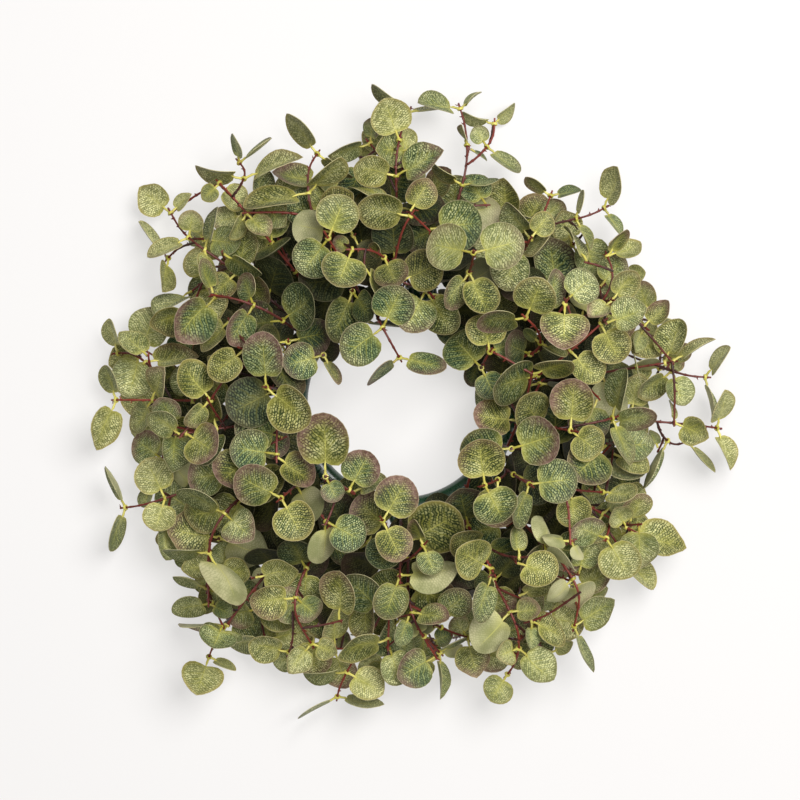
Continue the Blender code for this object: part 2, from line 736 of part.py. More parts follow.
def main():
    for old in list(bpy.data.objects):
        bpy.data.objects.remove(old)
    wreath = bpy.data.collections.new("eucalyptus_wreath")
    cutters = bpy.data.collections.new("cutters")
    pieces = bpy.data.collections.new("pieces")
    for collection in (wreath, cutters, pieces):
        bpy.context.scene.collection.children.link(collection)
    feet = []
    for number, (stems, leaves) in enumerate(grow()):
        paths = []
        for path, start, _ in stems:
            if start is not None:
                feet.append((path[0].copy(), start))
                path = np.vstack([path[0] - HOLE_DEPTH * start, path])
            paths.append(path)
        colour = LEAF_COLOURS[SPRAYS[number][0].row]
        make_spray(f"spray_{number + 1:02d}", paths, leaves, colour, wreath, pieces)
    ring = as_mesh(make_ring(feet, wreath, cutters), "ring", wreath)
    ring.data.materials.append(material("ring", RING_COLOUR, 0.3))
    centre_in_plan(wreath.objects)


main()
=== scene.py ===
"""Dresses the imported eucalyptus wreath: fine leaves with stalks and eyelets, stems with thorns, a glossy
ring, more leaves where the picture leaves no gap, a pale floor and soft light.

The stems and leaves grow by the same seeded rule as in the part's source, so each fine spray stands where
its solid does. X runs to the right of the picture, Y up the picture and Z towards the viewer. All sizes
are in metres.
"""

import math
import random
from collections import namedtuple

import bpy
import numpy as np
from mathutils.bvhtree import BVHTree
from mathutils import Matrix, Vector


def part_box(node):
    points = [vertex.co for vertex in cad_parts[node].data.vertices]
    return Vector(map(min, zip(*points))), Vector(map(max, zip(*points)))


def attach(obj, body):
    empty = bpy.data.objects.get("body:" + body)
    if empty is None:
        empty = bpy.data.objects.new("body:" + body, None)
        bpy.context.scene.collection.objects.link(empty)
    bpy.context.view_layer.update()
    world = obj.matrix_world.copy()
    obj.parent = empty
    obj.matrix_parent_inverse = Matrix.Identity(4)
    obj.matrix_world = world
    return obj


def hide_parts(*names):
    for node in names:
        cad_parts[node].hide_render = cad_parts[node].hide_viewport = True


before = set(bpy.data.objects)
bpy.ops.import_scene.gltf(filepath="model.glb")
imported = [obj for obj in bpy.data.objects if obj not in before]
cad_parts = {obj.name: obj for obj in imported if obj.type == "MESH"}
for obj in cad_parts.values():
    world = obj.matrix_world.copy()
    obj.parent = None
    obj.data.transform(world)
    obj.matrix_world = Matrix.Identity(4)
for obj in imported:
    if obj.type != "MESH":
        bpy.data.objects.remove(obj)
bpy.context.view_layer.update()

# The ring: the circle along the middle of its tube, and the tube
RING_RADIUS = 0.0845
TUBE_RADIUS = 0.0085

# The stems: the radius of a four-sided tip to its corners, and the bare stub past the last pair
TIP_RADIUS = 0.0011
STUB = 0.005

# How a stem is laid: the cuts of each smooth gap, and how often and how far its start is bent to be free
FINE_CUTS = 24
BENDS = 12
BEND_MORE = 0.05

# The feet: how far up from straight outwards each row stands on the tube and how far apart its feet are,
# in degrees, how strongly a foot leans towards its first pair, and how often the feet of a row are moved
# apart and by how many degrees too near they may stay
FOOT_ROWS = {"outer": 20, "crown": 78, "inner": 140}
FOOT_GAP = 7.5
FOOT_LEAN = 0.35
SPREAD_ROUNDS = 200
SPREAD_ENOUGH = 0.01

# The leaves: the width for a length of 1, the stalk as a fixed length and a share of the leaf's, half its
# width at the stem and at the blade, the cup's depth, the outline's corners, and the longest and the
# shortest leaf
WIDE = 1.08
STALK = 0.0025
STALK_SHARE = 0.10
ROOT_HALF = 0.0006
NECK_HALF = 0.0011
CUP = 0.06
ROUNDING = 1.04
RIM_ANGLES = np.radians([48, 100, 152, 208, 260, 312])
LONGEST = 0.045
SHORTEST = 0.013

# The rule for the pairs between those that the picture shows: the step from pair to pair, the first pair
# on a stem and on a fork, a full leaf, the radii that leaves keep between, how many outline points of a
# leaf have to be in sight, the tries for a leaf, and the seed
PAIR_STEP = 0.028
FIRST_PAIR = 0.014
FORK_PAIR = 0.010
FULL_LEAF = 0.039
KEPT_OPEN = 0.070
FULL_REACH = 0.195
SPOTS_SEEN = 4
TRIES = 20
SEED = 20

# The leaves of that rule. Their size as a share of a full leaf is a start less the distance from the ring's
# middle over a fade, and at least the last share
SIZE_START = 1.5
SIZE_FADE = 0.24
SIZE_LEAST = 0.55

# Their chances: how far the turn round the stem strays, in radians, and the share of it that the first try
# has; the lean forward, in radians; how far the face turns to the light; the size, and how much smaller the
# last try is; how much of the steepness is taken out; and how many show their lower face
RULED_TURN = 0.7
FIRST_LOOSE = 0.4
RULED_LEAN = (0.05, 0.75)
RULED_LIGHT = (0.25, 0.95)
RULED_SIZE = (0.86, 1.08)
RULED_SHRINK = 0.34
LEVELLED = 0.45
TURNED_OVER = 0.07

# The pictured leaves: the share of its full width from which a leaf counts as seen face on; for the others
# the pitch and the greatest roll, in degrees; and how a leaf may differ from its picture, in size and in
# degrees of pitch
FACE_ON = 0.95
SIDE_PITCH = 8
MOST_ROLL = 80
PICTURED_SIZES = (1.0, 0.92, 0.84, 0.74)
PICTURED_PITCHES = (0, 7, -7, 14, -14, 22, -22, 30)

# What keeps things apart: how much fatter than a leaf and a stem their shapes are, how far from its own stem
# a leaf's shape starts, and the least height over the floor
LEAF_GUARD = 0.0010
STEM_GUARD = 0.0011
ROOT_GUARD = 0.0028
FLOOR_GUARD = 0.0016

# How the picture is read: its side and its pixel at the middle of the ring, the real size of a pixel and
# the height at which that holds, and the eye's height
PICTURE_SIDE = 800
CENTRE_U = 402
CENTRE_V = 403
PIXEL = 0.00079
PICTURE_LEVEL = 0.045
EYE = 2.0


Twig = namedtuple("Twig", "row pairs")
Fork = namedtuple("Fork", "twig share pairs")
Pair = namedtuple("Pair", "u v rise first second")
Leaf = namedtuple("Leaf", "eyelet along across facing length width stalk")
Body = namedtuple("Body", "tree centre reach")

# Each spray is a twig and its forks. A pair holds the pixel and the height in millimetres of its eyelet,
# and for each leaf the pixel of its tip and the width that shows, in pixels. "under" shows its lower
# face.
SPRAYS = [
    [
        Twig("outer", [Pair(396, 176, 46, (441, 150, 34), (354, 168, 30)),
                       Pair(397, 141, 40, (384, 100, 42), None),
                       Pair(409, 112, 34, (371, 88, 7), (452, 104, 9))]),
        Fork(0, 0.55, [Pair(370, 141, 30, (330, 158, 13), (372, 118, 16))]),
    ],
    [
        Twig("outer", [Pair(462, 185, 50, (430, 165, 8), (498, 181, 9)),
                       Pair(470, 147, 40, (458, 123, 4), (488, 158, 5)),
                       Pair(460, 109, 36, (417, 101, 22), (480, 90, 5))]),
        Fork(0, 0.62, [Pair(491, 152, 32, (474, 126, 20), (520, 172, 17)),
                       Pair(494, 124, 26, (462, 116, 6), (518, 104, 10))]),
    ],
    [
        Twig("outer", [Pair(531, 240, 56, (503, 206, 22), (553, 212, 30)),
                       Pair(550, 196, 44, (525, 178, 9), (580, 189, 12))]),
        Fork(0, 0.66, [Pair(576, 222, 40, (583, 190, 4), (592, 247, 12)),
                       Pair(604, 208, 32, (617, 165, 22), (622, 234, 13))]),
    ],
    [
        Twig("outer", [Pair(611, 301, 52, (640, 268, 32), (585, 318, 20)),
                       Pair(606, 257, 44, (627, 229, 14), (643, 240, 25))]),
        Fork(0, 0.60, [Pair(646, 326, 34, (668, 302, 20), (636, 352, 16))]),
    ],
    [
        Twig("outer", [Pair(672, 362, 44, (678, 318, 28), (718, 333, 8))]),
        Fork(0, 0.70, [Pair(668, 374, 30, (685, 405, 30), (640, 398, 24)),
                       Pair(705, 377, 24, (728, 345, 10), (715, 418, 7))]),
    ],
    [
        Twig("outer", [Pair(675, 423, 40, (672, 399, 7), (708, 438, 30)),
                       Pair(716, 428, 28, (725, 387, 23), (733, 467, 19))]),
        Fork(0, 0.62, [Pair(660, 449, 28, (645, 488, 7), (652, 430, 12)),
                       Pair(687, 441, 20, (714, 471, 9), None)]),
    ],
    [
        Twig("outer", [Pair(632, 530, 44, (687, 545, 36), (610, 502, 27))]),
        Fork(0, 0.66, [Pair(623, 553, 30, (655, 588, 23), (600, 566, 14))]),
    ],
    [
        Twig("outer", [Pair(575, 578, 60, (582, 617, 44, "under"), (548, 600, 20, "under")),
                       Pair(573, 626, 40, (592, 670, 11), (614, 602, 34))]),
        Fork(0, 0.70, [Pair(530, 623, 46, (572, 642, 26), (532, 648, 16))]),
    ],
    [
        Twig("outer", [Pair(510, 612, 58, (474, 648, 42, "under"), (540, 608, 22)),
                       Pair(524, 647, 44, (553, 678, 34), (498, 654, 26)),
                       Pair(507, 674, 30, (488, 702, 32), None)]),
    ],
    [
        Twig("outer", [Pair(410, 613, 60, (450, 616, 20), (399, 646, 20)),
                       Pair(440, 652, 32, (444, 696, 9), (468, 634, 8))]),
        Fork(0, 0.50, [Pair(470, 640, 30, (476, 675, 36), (452, 616, 22))]),
    ],
    [
        Twig("outer", [Pair(388, 645, 52, (338, 655, 28), (403, 690, 38))]),
        Fork(0, 0.60, [Pair(345, 672, 36, (305, 677, 16), (383, 692, 33)),
                       Pair(338, 696, 24, (298, 717, 7), (382, 704, 8))]),
    ],
    [
        Twig("outer", [Pair(293, 597, 62, (251, 603, 36), (320, 620, 30)),
                       Pair(312, 643, 44, (290, 672, 26), (336, 652, 24))]),
        Fork(0, 0.70, [Pair(290, 654, 30, (249, 645, 30), None)]),
    ],
    [
        Twig("outer", [Pair(226, 625, 36, (161, 632, 15), (215, 656, 42)),
                       Pair(210, 656, 24, (200, 688, 43), (236, 669, 6))]),
        Fork(0, 0.66, [Pair(210, 604, 46, (172, 612, 24), (236, 616, 20))]),
    ],
    [
        Twig("outer", [Pair(222, 511, 60, (178, 490, 20), (252, 536, 38)),
                       Pair(209, 552, 50, (165, 553, 13), (243, 608, 26, "under")),
                       Pair(207, 588, 40, (174, 577, 12), (228, 600, 24))]),
    ],
    [
        Twig("outer", [Pair(165, 499, 34, (145, 458, 40), (155, 536, 34)),
                       Pair(126, 507, 24, (106, 468, 8), (112, 551, 10))]),
    ],
    [
        Twig("outer", [Pair(152, 400, 40, (166, 362, 26), (128, 432, 24)),
                       Pair(117, 400, 30, (104, 366, 19), (98, 448, 26))]),
        Fork(0, 0.58, [Pair(150, 356, 38, (120, 328, 24), (197, 352, 24)),
                       Pair(118, 354, 28, (107, 320, 17), None)]),
    ],
    [
        Twig("outer", [Pair(205, 249, 44, (215, 290, 14), (216, 208, 14)),
                       Pair(190, 245, 38, (148, 255, 19), (194, 212, 26)),
                       Pair(171, 213, 30, (136, 187, 37), (190, 194, 15))]),
        Fork(0, 0.60, [Pair(167, 257, 24, (138, 218, 5), (166, 296, 14))]),
    ],
    [
        Twig("outer", [Pair(247, 213, 50, (232, 240, 12), (272, 236, 24)),
                       Pair(220, 184, 40, (203, 200, 18), (246, 206, 28))]),
        Fork(0, 0.72, [Pair(252, 181, 36, (298, 154, 22), (196, 171, 11)),
                       Pair(239, 163, 28, (234, 132, 10), (271, 138, 5))]),
    ],
    [
        Twig("outer", [Pair(304, 193, 52, (243, 204, 26), (348, 159, 17)),
                       Pair(318, 155, 36, (287, 116, 17), (352, 178, 7))]),
    ],
    [
        Twig("crown", [Pair(390, 253, 60, (370, 246, 10), (397, 287, 36)),
                       Pair(352, 250, 72, (338, 287, 46), (333, 237, 18))]),
        Fork(0, 0.34, [Pair(410, 214, 66, (433, 178, 34), (358, 208, 34))]),
    ],
    [
        Twig("crown", [Pair(327, 236, 82, (346, 192, 44), (300, 273, 43))]),
    ],
    [
        Twig("crown", [Pair(470, 272, 66, (490, 313, 36), (446, 308, 24)),
                       Pair(473, 253, 94, (434, 243, 48), (524, 240, 48))]),
    ],
    [
        Twig("crown", [Pair(548, 345, 66, (568, 358, 10), (525, 331, 9)),
                       Pair(525, 318, 86, (541, 281, 44), (477, 325, 21))]),
        Fork(0, 0.40, [Pair(565, 302, 80, (598, 272, 44), (562, 347, 50))]),
    ],
    [
        Twig("crown", [Pair(537, 378, 56, (482, 392, 38), (584, 364, 22)),
                       Pair(603, 322, 66, (619, 362, 40), (648, 303, 40))]),
    ],
    [
        Twig("crown", [Pair(573, 431, 82, (573, 379, 43), (606, 456, 38))]),
        Fork(0, 0.55, [Pair(615, 418, 60, (622, 369, 18), (631, 463, 21))]),
    ],
    [
        Twig("crown", [Pair(512, 449, 76, (557, 434, 50), (460, 450, 44))]),
        Fork(0, 0.45, [Pair(520, 421, 54, (473, 414, 36), (548, 398, 30))]),
    ],
    [
        Twig("crown", [Pair(530, 485, 80, (580, 478, 45), (516, 528, 20))]),
        Fork(0, 0.34, [Pair(485, 486, 90, (478, 439, 48), (503, 520, 46))]),
        Fork(0, 0.67, [Pair(607, 493, 52, (641, 494, 20), (582, 466, 16))]),
    ],
    [
        Twig("crown", [Pair(493, 572, 70, (479, 620, 26), (452, 545, 44))]),
        Fork(0, 0.50, [Pair(519, 560, 76, (566, 572, 40), (517, 526, 18)),
                       Pair(571, 541, 66, (539, 538, 14, "under"), (581, 560, 12, "under"))]),
    ],
    [
        Twig("crown", [Pair(400, 578, 66, (384, 623, 38), (458, 572, 30, "under"))]),
        Fork(0, 0.45, [Pair(382, 521, 86, (409, 477, 45), (402, 560, 36))]),
        Fork(0, 0.60, [Pair(424, 546, 70, (436, 576, 26), (412, 520, 14))]),
    ],
    [
        Twig("crown", [Pair(280, 499, 86, (236, 474, 43), (304, 538, 43))]),
        Fork(0, 0.45, [Pair(326, 523, 72, (320, 567, 28, "under"), (367, 545, 42))]),
    ],
    [
        Twig("crown", [Pair(325, 477, 84, (323, 413, 53), (338, 502, 24))]),
        Fork(0, 0.50, [Pair(350, 490, 70, (370, 452, 40), (388, 472, 20))]),
    ],
    [
        Twig("crown", [Pair(265, 387, 90, (262, 332, 42), (307, 426, 44))]),
        Fork(0, 0.40, [Pair(276, 457, 72, (230, 447, 43), (314, 482, 32))]),
    ],
    [
        Twig("crown", [Pair(180, 434, 60, (218, 452, 44), (143, 411, 30))]),
        Fork(0, 0.70, [Pair(174, 428, 48, (160, 396, 28), (176, 470, 30))]),
    ],
    [
        Twig("crown", [Pair(243, 349, 74, (210, 376, 34), (224, 400, 13))]),
        Fork(0, 0.60, [Pair(208, 402, 60, (183, 362, 34), (184, 430, 20))]),
    ],
    [
        Twig("crown", [Pair(255, 303, 66, (231, 345, 26), (240, 272, 22)),
                       Pair(216, 297, 58, (179, 340, 40), (204, 259, 14))]),
    ],
    [
        Twig("inner", [Pair(379, 321, 84, (343, 358, 42), (402, 288, 44)),
                       Pair(399, 357, 66, (367, 384, 9), (446, 368, 23))]),
    ],
    [
        Twig("inner", [Pair(325, 356, 56, (284, 366, 38), (340, 384, 10))]),
    ],
    [
        Twig("inner", [Pair(478, 372, 54, (452, 334, 46), (496, 398, 30)),
                       Pair(490, 352, 72, (484, 308, 42), (514, 344, 26))]),
    ],
    [
        Twig("crown", [Pair(352, 292, 46, (334, 342, 32), (374, 322, 26))]),
    ],
    [
        Twig("crown", [Pair(424, 287, 50, (406, 331, 44), (452, 334, 36)),
                       Pair(432, 296, 62, (468, 300, 16), None)]),
    ],
]


def unit(vector):
    return vector / np.linalg.norm(vector)


def picture_scale(rise):
    return PIXEL * (EYE - rise) / (EYE - PICTURE_LEVEL)


def at(u, v, rise):
    """The place, at a height, that the eye sees at a pixel."""
    scale = picture_scale(rise)
    return np.array([(u - CENTRE_U) * scale, (CENTRE_V - v) * scale, rise])


def spread(bearings):
    """Bearings in degrees, moved apart round the circle until neighbours are FOOT_GAP apart."""
    placed = np.array(bearings, float)
    for _ in range(SPREAD_ROUNDS):
        order = np.argsort(placed)
        gaps = (np.roll(placed[order], -1) - placed[order]) % 360
        push = np.clip(FOOT_GAP - gaps, 0, None) / 2
        if push.max() < SPREAD_ENOUGH:
            break
        placed[order] -= push
        placed[np.roll(order, -1)] += push
    return placed


def foot_frame(bearing, lift, goal):
    """The point on the ring where a foot stands, and its direction, leaning towards the first pair."""
    turn, up = math.radians(bearing), math.radians(lift)
    outward = np.array([math.cos(turn), math.sin(turn), 0])
    normal = math.cos(up) * outward + np.array([0, 0, math.sin(up)])
    point = RING_RADIUS * outward + [0, 0, TUBE_RADIUS] + TUBE_RADIUS * normal
    return point, unit(normal + FOOT_LEAN * unit(goal - point))


def smooth_course(points, start, end):
    """Closely spaced points of a smooth curve, a cubic for each gap, and the index of each given
    point."""
    points = np.array(points)
    slopes = np.empty_like(points)
    slopes[1:-1] = (points[2:] - points[:-2]) / 2
    slopes[0] = start * np.linalg.norm(points[1] - points[0])
    slopes[-1] = end * np.linalg.norm(points[-1] - points[-2])
    t = (np.arange(1, FINE_CUTS + 1) / FINE_CUTS)[:, None]
    course = [points[:1]]
    for here, there, leave, arrive in zip(points, points[1:], slopes, slopes[1:]):
        course.append((2 * t**3 - 3 * t**2 + 1) * here + (t**3 - 2 * t**2 + t) * leave
                      + (3 * t**2 - 2 * t**3) * there + (t**3 - t**2) * arrive)
    return np.vstack(course), FINE_CUTS * np.arange(len(points))


def lay_stem(points, start, end, clear, pair_step=PAIR_STEP):
    """The straight steps of a stem and the pairs on it. A pair sits in the middle of each step: the given
    points have one each, and the gaps between them are shared out in steps of about pair_step."""
    course, given = smooth_course(points, start, end)
    run = np.concatenate([[0], np.cumsum(np.linalg.norm(np.diff(course, axis=0), axis=1))])
    seats = []
    last = clear
    for number, index in enumerate(given[1:-1]):
        gap = run[index] - last
        more = max(0, round(gap / pair_step) - 1)
        seats += [(last + gap * (k + 1) / (more + 1), None) for k in range(more)]
        seats.append((run[index], number))
        last = run[index]
    middles = [(a[0] + b[0]) / 2 for a, b in zip(seats, seats[1:])]
    knots = [0.0, max(clear / 2, seats[0][0] - pair_step / 2), *middles, run[-1]]
    path = np.column_stack([np.interp(knots, run, course[:, k]) for k in range(3)])
    found = []
    for step, (place, number) in enumerate(seats):
        low, high = knots[step + 1], knots[step + 2]
        share = (place - low) / (high - low)
        spot = path[step + 1] * (1 - share) + path[step + 2] * share
        found.append((spot, unit(path[step + 2] - path[step + 1]), number))
    return path, found


def solid_body(points, faces):
    centre = points.mean(axis=0)
    reach = float(np.linalg.norm(points - centre, axis=1).max())
    return Body(BVHTree.FromPolygons(points.tolist(), faces, all_triangles=True), centre, reach)


class Crowd:
    """The bodies that stand already, so that a new one can be kept clear of them."""

    def __init__(self):
        self.trees = []
        self.centres = np.empty((0, 3))
        self.reaches = np.empty(0)

    def add(self, body):
        self.trees.append(body.tree)
        self.centres = np.vstack([self.centres, body.centre])
        self.reaches = np.append(self.reaches, body.reach)

    def free(self, body):
        near = np.linalg.norm(self.centres - body.centre, axis=1) < self.reaches + body.reach
        return not any(body.tree.overlap(self.trees[i]) for i in np.flatnonzero(near))


def stem_bodies(path):
    """A square rod, fatter than the stem by STEM_GUARD, for each step of its path."""
    faces = [(a, (a + 1) % 4, (a + 1) % 4 + 4) for a in range(4)]
    faces += [(a, (a + 1) % 4 + 4, a + 4) for a in range(4)]
    bodies = []
    for here, there in zip(path, path[1:]):
        along = unit(there - here)
        side = unit(np.cross(along, [0.31, 0.95, 0.05]))
        other = np.cross(along, side)
        ring = np.array([side, other, -side, -other]) * (TIP_RADIUS + STEM_GUARD)
        bodies.append(solid_body(np.vstack([here + ring, there + ring]), faces))
    return bodies


# A leaf's cage: its outline points, one more for the sunk middle, and the triangles between them
CORNERS = 10
CAGE_POINTS = CORNERS + 1
CAGE_FACES = [(CORNERS, i, i + 1) for i in range(1, 8)] + [(CORNERS, 8, 1), (0, 1, 8), (0, 8, 9)]


def leaf_cage(leaf, root, grow=0.0):
    """The leaf's ten outline points and its sunk middle, in its own plane: a stalk, a neck and a round
    blade."""
    middle = leaf.stalk + leaf.length / 2
    x = middle - (ROUNDING * leaf.length / 2 + grow) * np.cos(RIM_ANGLES)
    y = -(ROUNDING * leaf.width / 2 + grow) * np.sin(RIM_ANGLES)
    x = np.concatenate([[root, leaf.stalk], x, [leaf.stalk, root, middle]])
    root_side, neck_side = ROOT_HALF + grow, NECK_HALF + grow
    y = np.concatenate([[-root_side, -neck_side], y, [neck_side, root_side, 0]])
    z = np.zeros(CAGE_POINTS)
    z[CORNERS] = -CUP * leaf.length
    return x, y, z


def leaf_points(leaf, cage):
    x, y, z = cage
    return leaf.eyelet + np.outer(x, leaf.along) + np.outer(y, leaf.across) + np.outer(z, leaf.facing)


def leaf_body(leaf):
    """A closed slab round the leaf, from just outside its stem, LEAF_GUARD thick on each face."""
    x, y, z = leaf_cage(leaf, ROOT_GUARD, LEAF_GUARD / 2)
    points = np.vstack([leaf_points(leaf, (x, y, z + side * LEAF_GUARD)) for side in (1, -1)])
    faces = CAGE_FACES + [(a + CAGE_POINTS, c + CAGE_POINTS, b + CAGE_POINTS) for a, b, c in CAGE_FACES]
    for a in range(CORNERS):
        b = (a + 1) % CORNERS
        faces += [(a, a + CAGE_POINTS, b + CAGE_POINTS), (a, b + CAGE_POINTS, b)]
    return solid_body(points, faces)


def framed_leaf(eyelet, along, facing, length, width):
    along = unit(along)
    facing = unit(facing - along * (facing @ along))
    stalk = STALK + STALK_SHARE * length
    return Leaf(eyelet, along, np.cross(facing, along), facing, length, width, stalk)


def pictured_leaf(eyelet, goal, pitch_more, lift, roll_side, shrink):
    """The leaf whose tip and visible width are given: face on it is tipped up or down to shorten it, and
    narrow it is rolled about its own length."""
    scale = picture_scale(eyelet[2])
    tip = at(goal[0], goal[1], eyelet[2])
    heading = unit(tip - eyelet)
    span = float(np.linalg.norm(tip - eyelet))
    shown = goal[2] * scale
    flat_length = (span - STALK) / (1 + STALK_SHARE)
    if shown > FACE_ON * WIDE * flat_length:
        length = min(shown / WIDE, LONGEST)
        pitch = math.acos(min(1.0, span / (STALK + (1 + STALK_SHARE) * length)))
        roll = 0.0
    else:
        pitch = math.radians(SIDE_PITCH)
        length = min((span / math.cos(pitch) - STALK) / (1 + STALK_SHARE), LONGEST)
        roll = math.acos(min(1.0, shown / (WIDE * length)))
        roll = min(roll, math.radians(MOST_ROLL))
    pitch = lift * pitch + math.radians(pitch_more)
    length = max(length * shrink, SHORTEST)
    along = heading * math.cos(pitch) + np.array([0, 0, math.sin(pitch)])
    level = np.array([0, 0, math.cos(pitch)]) - heading * math.sin(pitch)
    facing = level * math.cos(roll) + roll_side * math.sin(roll) * np.cross(level, along)
    if len(goal) > 3:
        facing = -facing
    return framed_leaf(eyelet, along, facing, length, WIDE * length)


def pictured_choices(eyelet, goal):
    """The leaf as pictured first, and then as near to it as there is room for."""
    for shrink in PICTURED_SIZES:
        for pitch_more in PICTURED_PITCHES:
            for lift in (1, -1):
                for roll_side in (1, -1):
                    yield pictured_leaf(eyelet, goal, pitch_more, lift, roll_side, shrink)


def ruled_choices(eyelet, stem, turn, side, size, draw):
    """Leaves at right angles to the stem and leaning forward, half turned to the light, each try a little
    further from that."""
    flat = np.cross([0, 0, 1], stem)
    flat = unit(flat) if np.linalg.norm(flat) > 0.15 else np.array([1.0, 0, 0])
    steep = np.cross(stem, flat)
    for attempt in range(TRIES):
        loose = FIRST_LOOSE + attempt / TRIES
        angle = turn + draw.uniform(-RULED_TURN, RULED_TURN) * loose
        lean = draw.uniform(*RULED_LEAN)
        light = draw.uniform(*RULED_LIGHT)
        length = size * draw.uniform(*RULED_SIZE) * (1 - RULED_SHRINK * attempt / TRIES)
        across = side * (math.cos(angle) * flat + math.sin(angle) * steep)
        across = across - [0, 0, LEVELLED * across[2]]
        along = unit(across) * math.cos(lean) + stem * math.sin(lean)
        facing = stem * (1 - light) + np.array([0, 0, light])
        if draw.random() < TURNED_OVER:
            facing = -facing
        if np.linalg.norm(np.cross(facing, unit(along))) > 0.2:
            yield framed_leaf(eyelet, along, facing, length, WIDE * length)


def ruled_size(spot):
    """The size of the leaves at a pair: full near the ring and smaller towards the rim."""
    out = float(np.linalg.norm(spot[:2]))
    return FULL_LEAF * min(1.0, max(SIZE_LEAST, SIZE_START - out / SIZE_FADE))


def roomy(leaf, limit):
    """True for a leaf that stays above the floor and, where a limit is set, off the hole and inside the
    rim."""
    points = leaf_points(leaf, leaf_cage(leaf, 0))
    if points[:, 2].min() < FLOOR_GUARD:
        return False
    out = np.linalg.norm(points[:, :2], axis=1)
    return not limit or (out.min() > KEPT_OPEN and out.max() < FULL_REACH)


def clear_of_shown(points, shown):
    """True where none of the points hides a pictured leaf from above."""
    return not any(shown.ray_cast(spot.tolist(), (0, 0, -1))[0] is not None for spot in points)


def shows(leaf, shown):
    """True for a leaf that covers none of the pictured ones and that the eye sees past them."""
    spots = leaf_points(leaf, leaf_cage(leaf, leaf.stalk))[1:-2]
    if not clear_of_shown(spots, shown):
        return False
    return sum(shown.ray_cast(spot.tolist(), (0, 0, 1))[0] is None for spot in spots) >= SPOTS_SEEN


def foot_bearings():
    """The bearing of each spray's foot: that of its first pair, with each row of feet spread apart."""
    bearings = np.zeros(len(SPRAYS))
    for row in FOOT_ROWS:
        mine = [number for number, spray in enumerate(SPRAYS) if spray[0].row == row]
        firsts = [SPRAYS[number][0].pairs[0] for number in mine]
        bearings[mine] = spread([math.degrees(math.atan2(CENTRE_V - first.v, first.u - CENTRE_U))
                                 for first in firsts])
    return bearings


def grow_stems(draw, crowd):
    """For each spray its stems, each as the straight steps of its path, its foot's direction and its
    pairs."""
    sprays = []
    for spray, bearing in zip(SPRAYS, foot_bearings()):
        stems = []
        for twig in spray:
            spots = [at(p.u, p.v, p.rise / 1000) for p in twig.pairs]
            rooted = isinstance(twig, Twig)
            if rooted:
                point, start = foot_frame(bearing, FOOT_ROWS[twig.row], spots[0])
            else:
                main = stems[twig.twig][0]
                index = max(1, round(twig.share * (len(main) - 1)))
                point, start = main[index], unit(main[index + 1] - main[index])
            if len(spots) > 1:
                before = spots[-2]
            else:
                before = point + 0.6 * np.linalg.norm(spots[0] - point) * start
            end = unit(spots[-1] - before)
            for attempt in range(BENDS):
                bend = BEND_MORE * attempt * np.array([draw.uniform(-1, 1) for _ in range(3)])
                path, seats = lay_stem([point, *spots, spots[-1] + STUB * end], unit(start + bend), end,
                                       FIRST_PAIR if rooted else FORK_PAIR)
                bodies = stem_bodies(path)
                tested = bodies if rooted else bodies[1:]
                if path[:, 2].min() > FLOOR_GUARD and all(crowd.free(body) for body in tested):
                    break
            for body in bodies:
                crowd.add(body)
            stems.append((path, start if rooted else None, seats))
        sprays.append(stems)
    return sprays


def grow():
    """All sprays as stems and leaves: first the pictured leaves, then those that the rule adds."""
    draw = random.Random(SEED)
    crowd = Crowd()
    sprays = grow_stems(draw, crowd)
    leaves = [[] for _ in SPRAYS]

    def place(number, choices, limit, shown=None):
        for leaf in choices:
            if not roomy(leaf, limit) or (shown and not shows(leaf, shown)):
                continue
            body = leaf_body(leaf)
            if crowd.free(body):
                crowd.add(body)
                leaves[number].append(leaf)
                return

    for number, (spray, stems) in enumerate(zip(SPRAYS, sprays)):
        for twig, (_, _, seats) in zip(spray, stems):
            for spot, _, given in seats:
                goals = twig.pairs[given][3:] if given is not None else ()
                for goal in filter(None, goals):
                    place(number, pictured_choices(spot, goal), False)
    pictured = [leaf for found in leaves for leaf in found]
    points = np.vstack([leaf_points(leaf, leaf_cage(leaf, 0)) for leaf in pictured])
    faces = [(a + base, b + base, c + base) for base in range(0, len(points), CAGE_POINTS)
             for a, b, c in CAGE_FACES]
    shown = BVHTree.FromPolygons(points.tolist(), faces, all_triangles=True)
    for number, stems in enumerate(sprays):
        for _, _, seats in stems:
            turn = draw.uniform(0, math.pi)
            for spot, stem, given in seats:
                turn += math.pi / 2
                if given is not None:
                    continue
                for side in (1, -1):
                    choices = ruled_choices(spot, stem, turn, side, ruled_size(spot), draw)
                    place(number, choices, True, shown)
    return list(zip(sprays, leaves)), crowd, shown


# The leaves that are too many for the solids: where the picture's leaves leave no gap, as the nearest and
# the farthest pixel from the ring's middle every ten degrees, and where the ring shows, as two bearings
# and a radius
NEAR_OUTLINE = [72, 70, 68, 72, 76, 78, 76, 74, 74, 76, 78, 80, 80, 80, 80, 86, 92, 94,
                94, 84, 76, 72, 72, 70, 68, 68, 70, 72, 80, 96, 96, 88, 74, 72, 76, 76]
FAR_OUTLINE = [251, 290, 278, 272, 257, 254, 239, 239, 236, 290, 266, 248, 272, 260, 290, 245, 275, 296,
               278, 272, 275, 278, 269, 296, 293, 290, 296, 281, 269, 278, 300, 296, 272, 300, 254, 245]
SHOWN_RING = [(158, 188, 0.092), (222, 241, 0.090), (274, 318, 0.088)]

# The plan that is searched for gaps: the side of a cell, the cells each way, and half a patch in cells
CELL = 0.0025
CELLS = 220
PATCH = 4

# The seed, and for each run over the gaps: the tries at one, the open cells that make a gap, the share of
# the full height, and how much smaller the leaf is by the last try
FILL_SEED = 7
FILL_RUNS = ((24, 4, 0.95, 0.3), (70, 4, 0.95, 0.3), (110, 2, 0.4, 0.55))

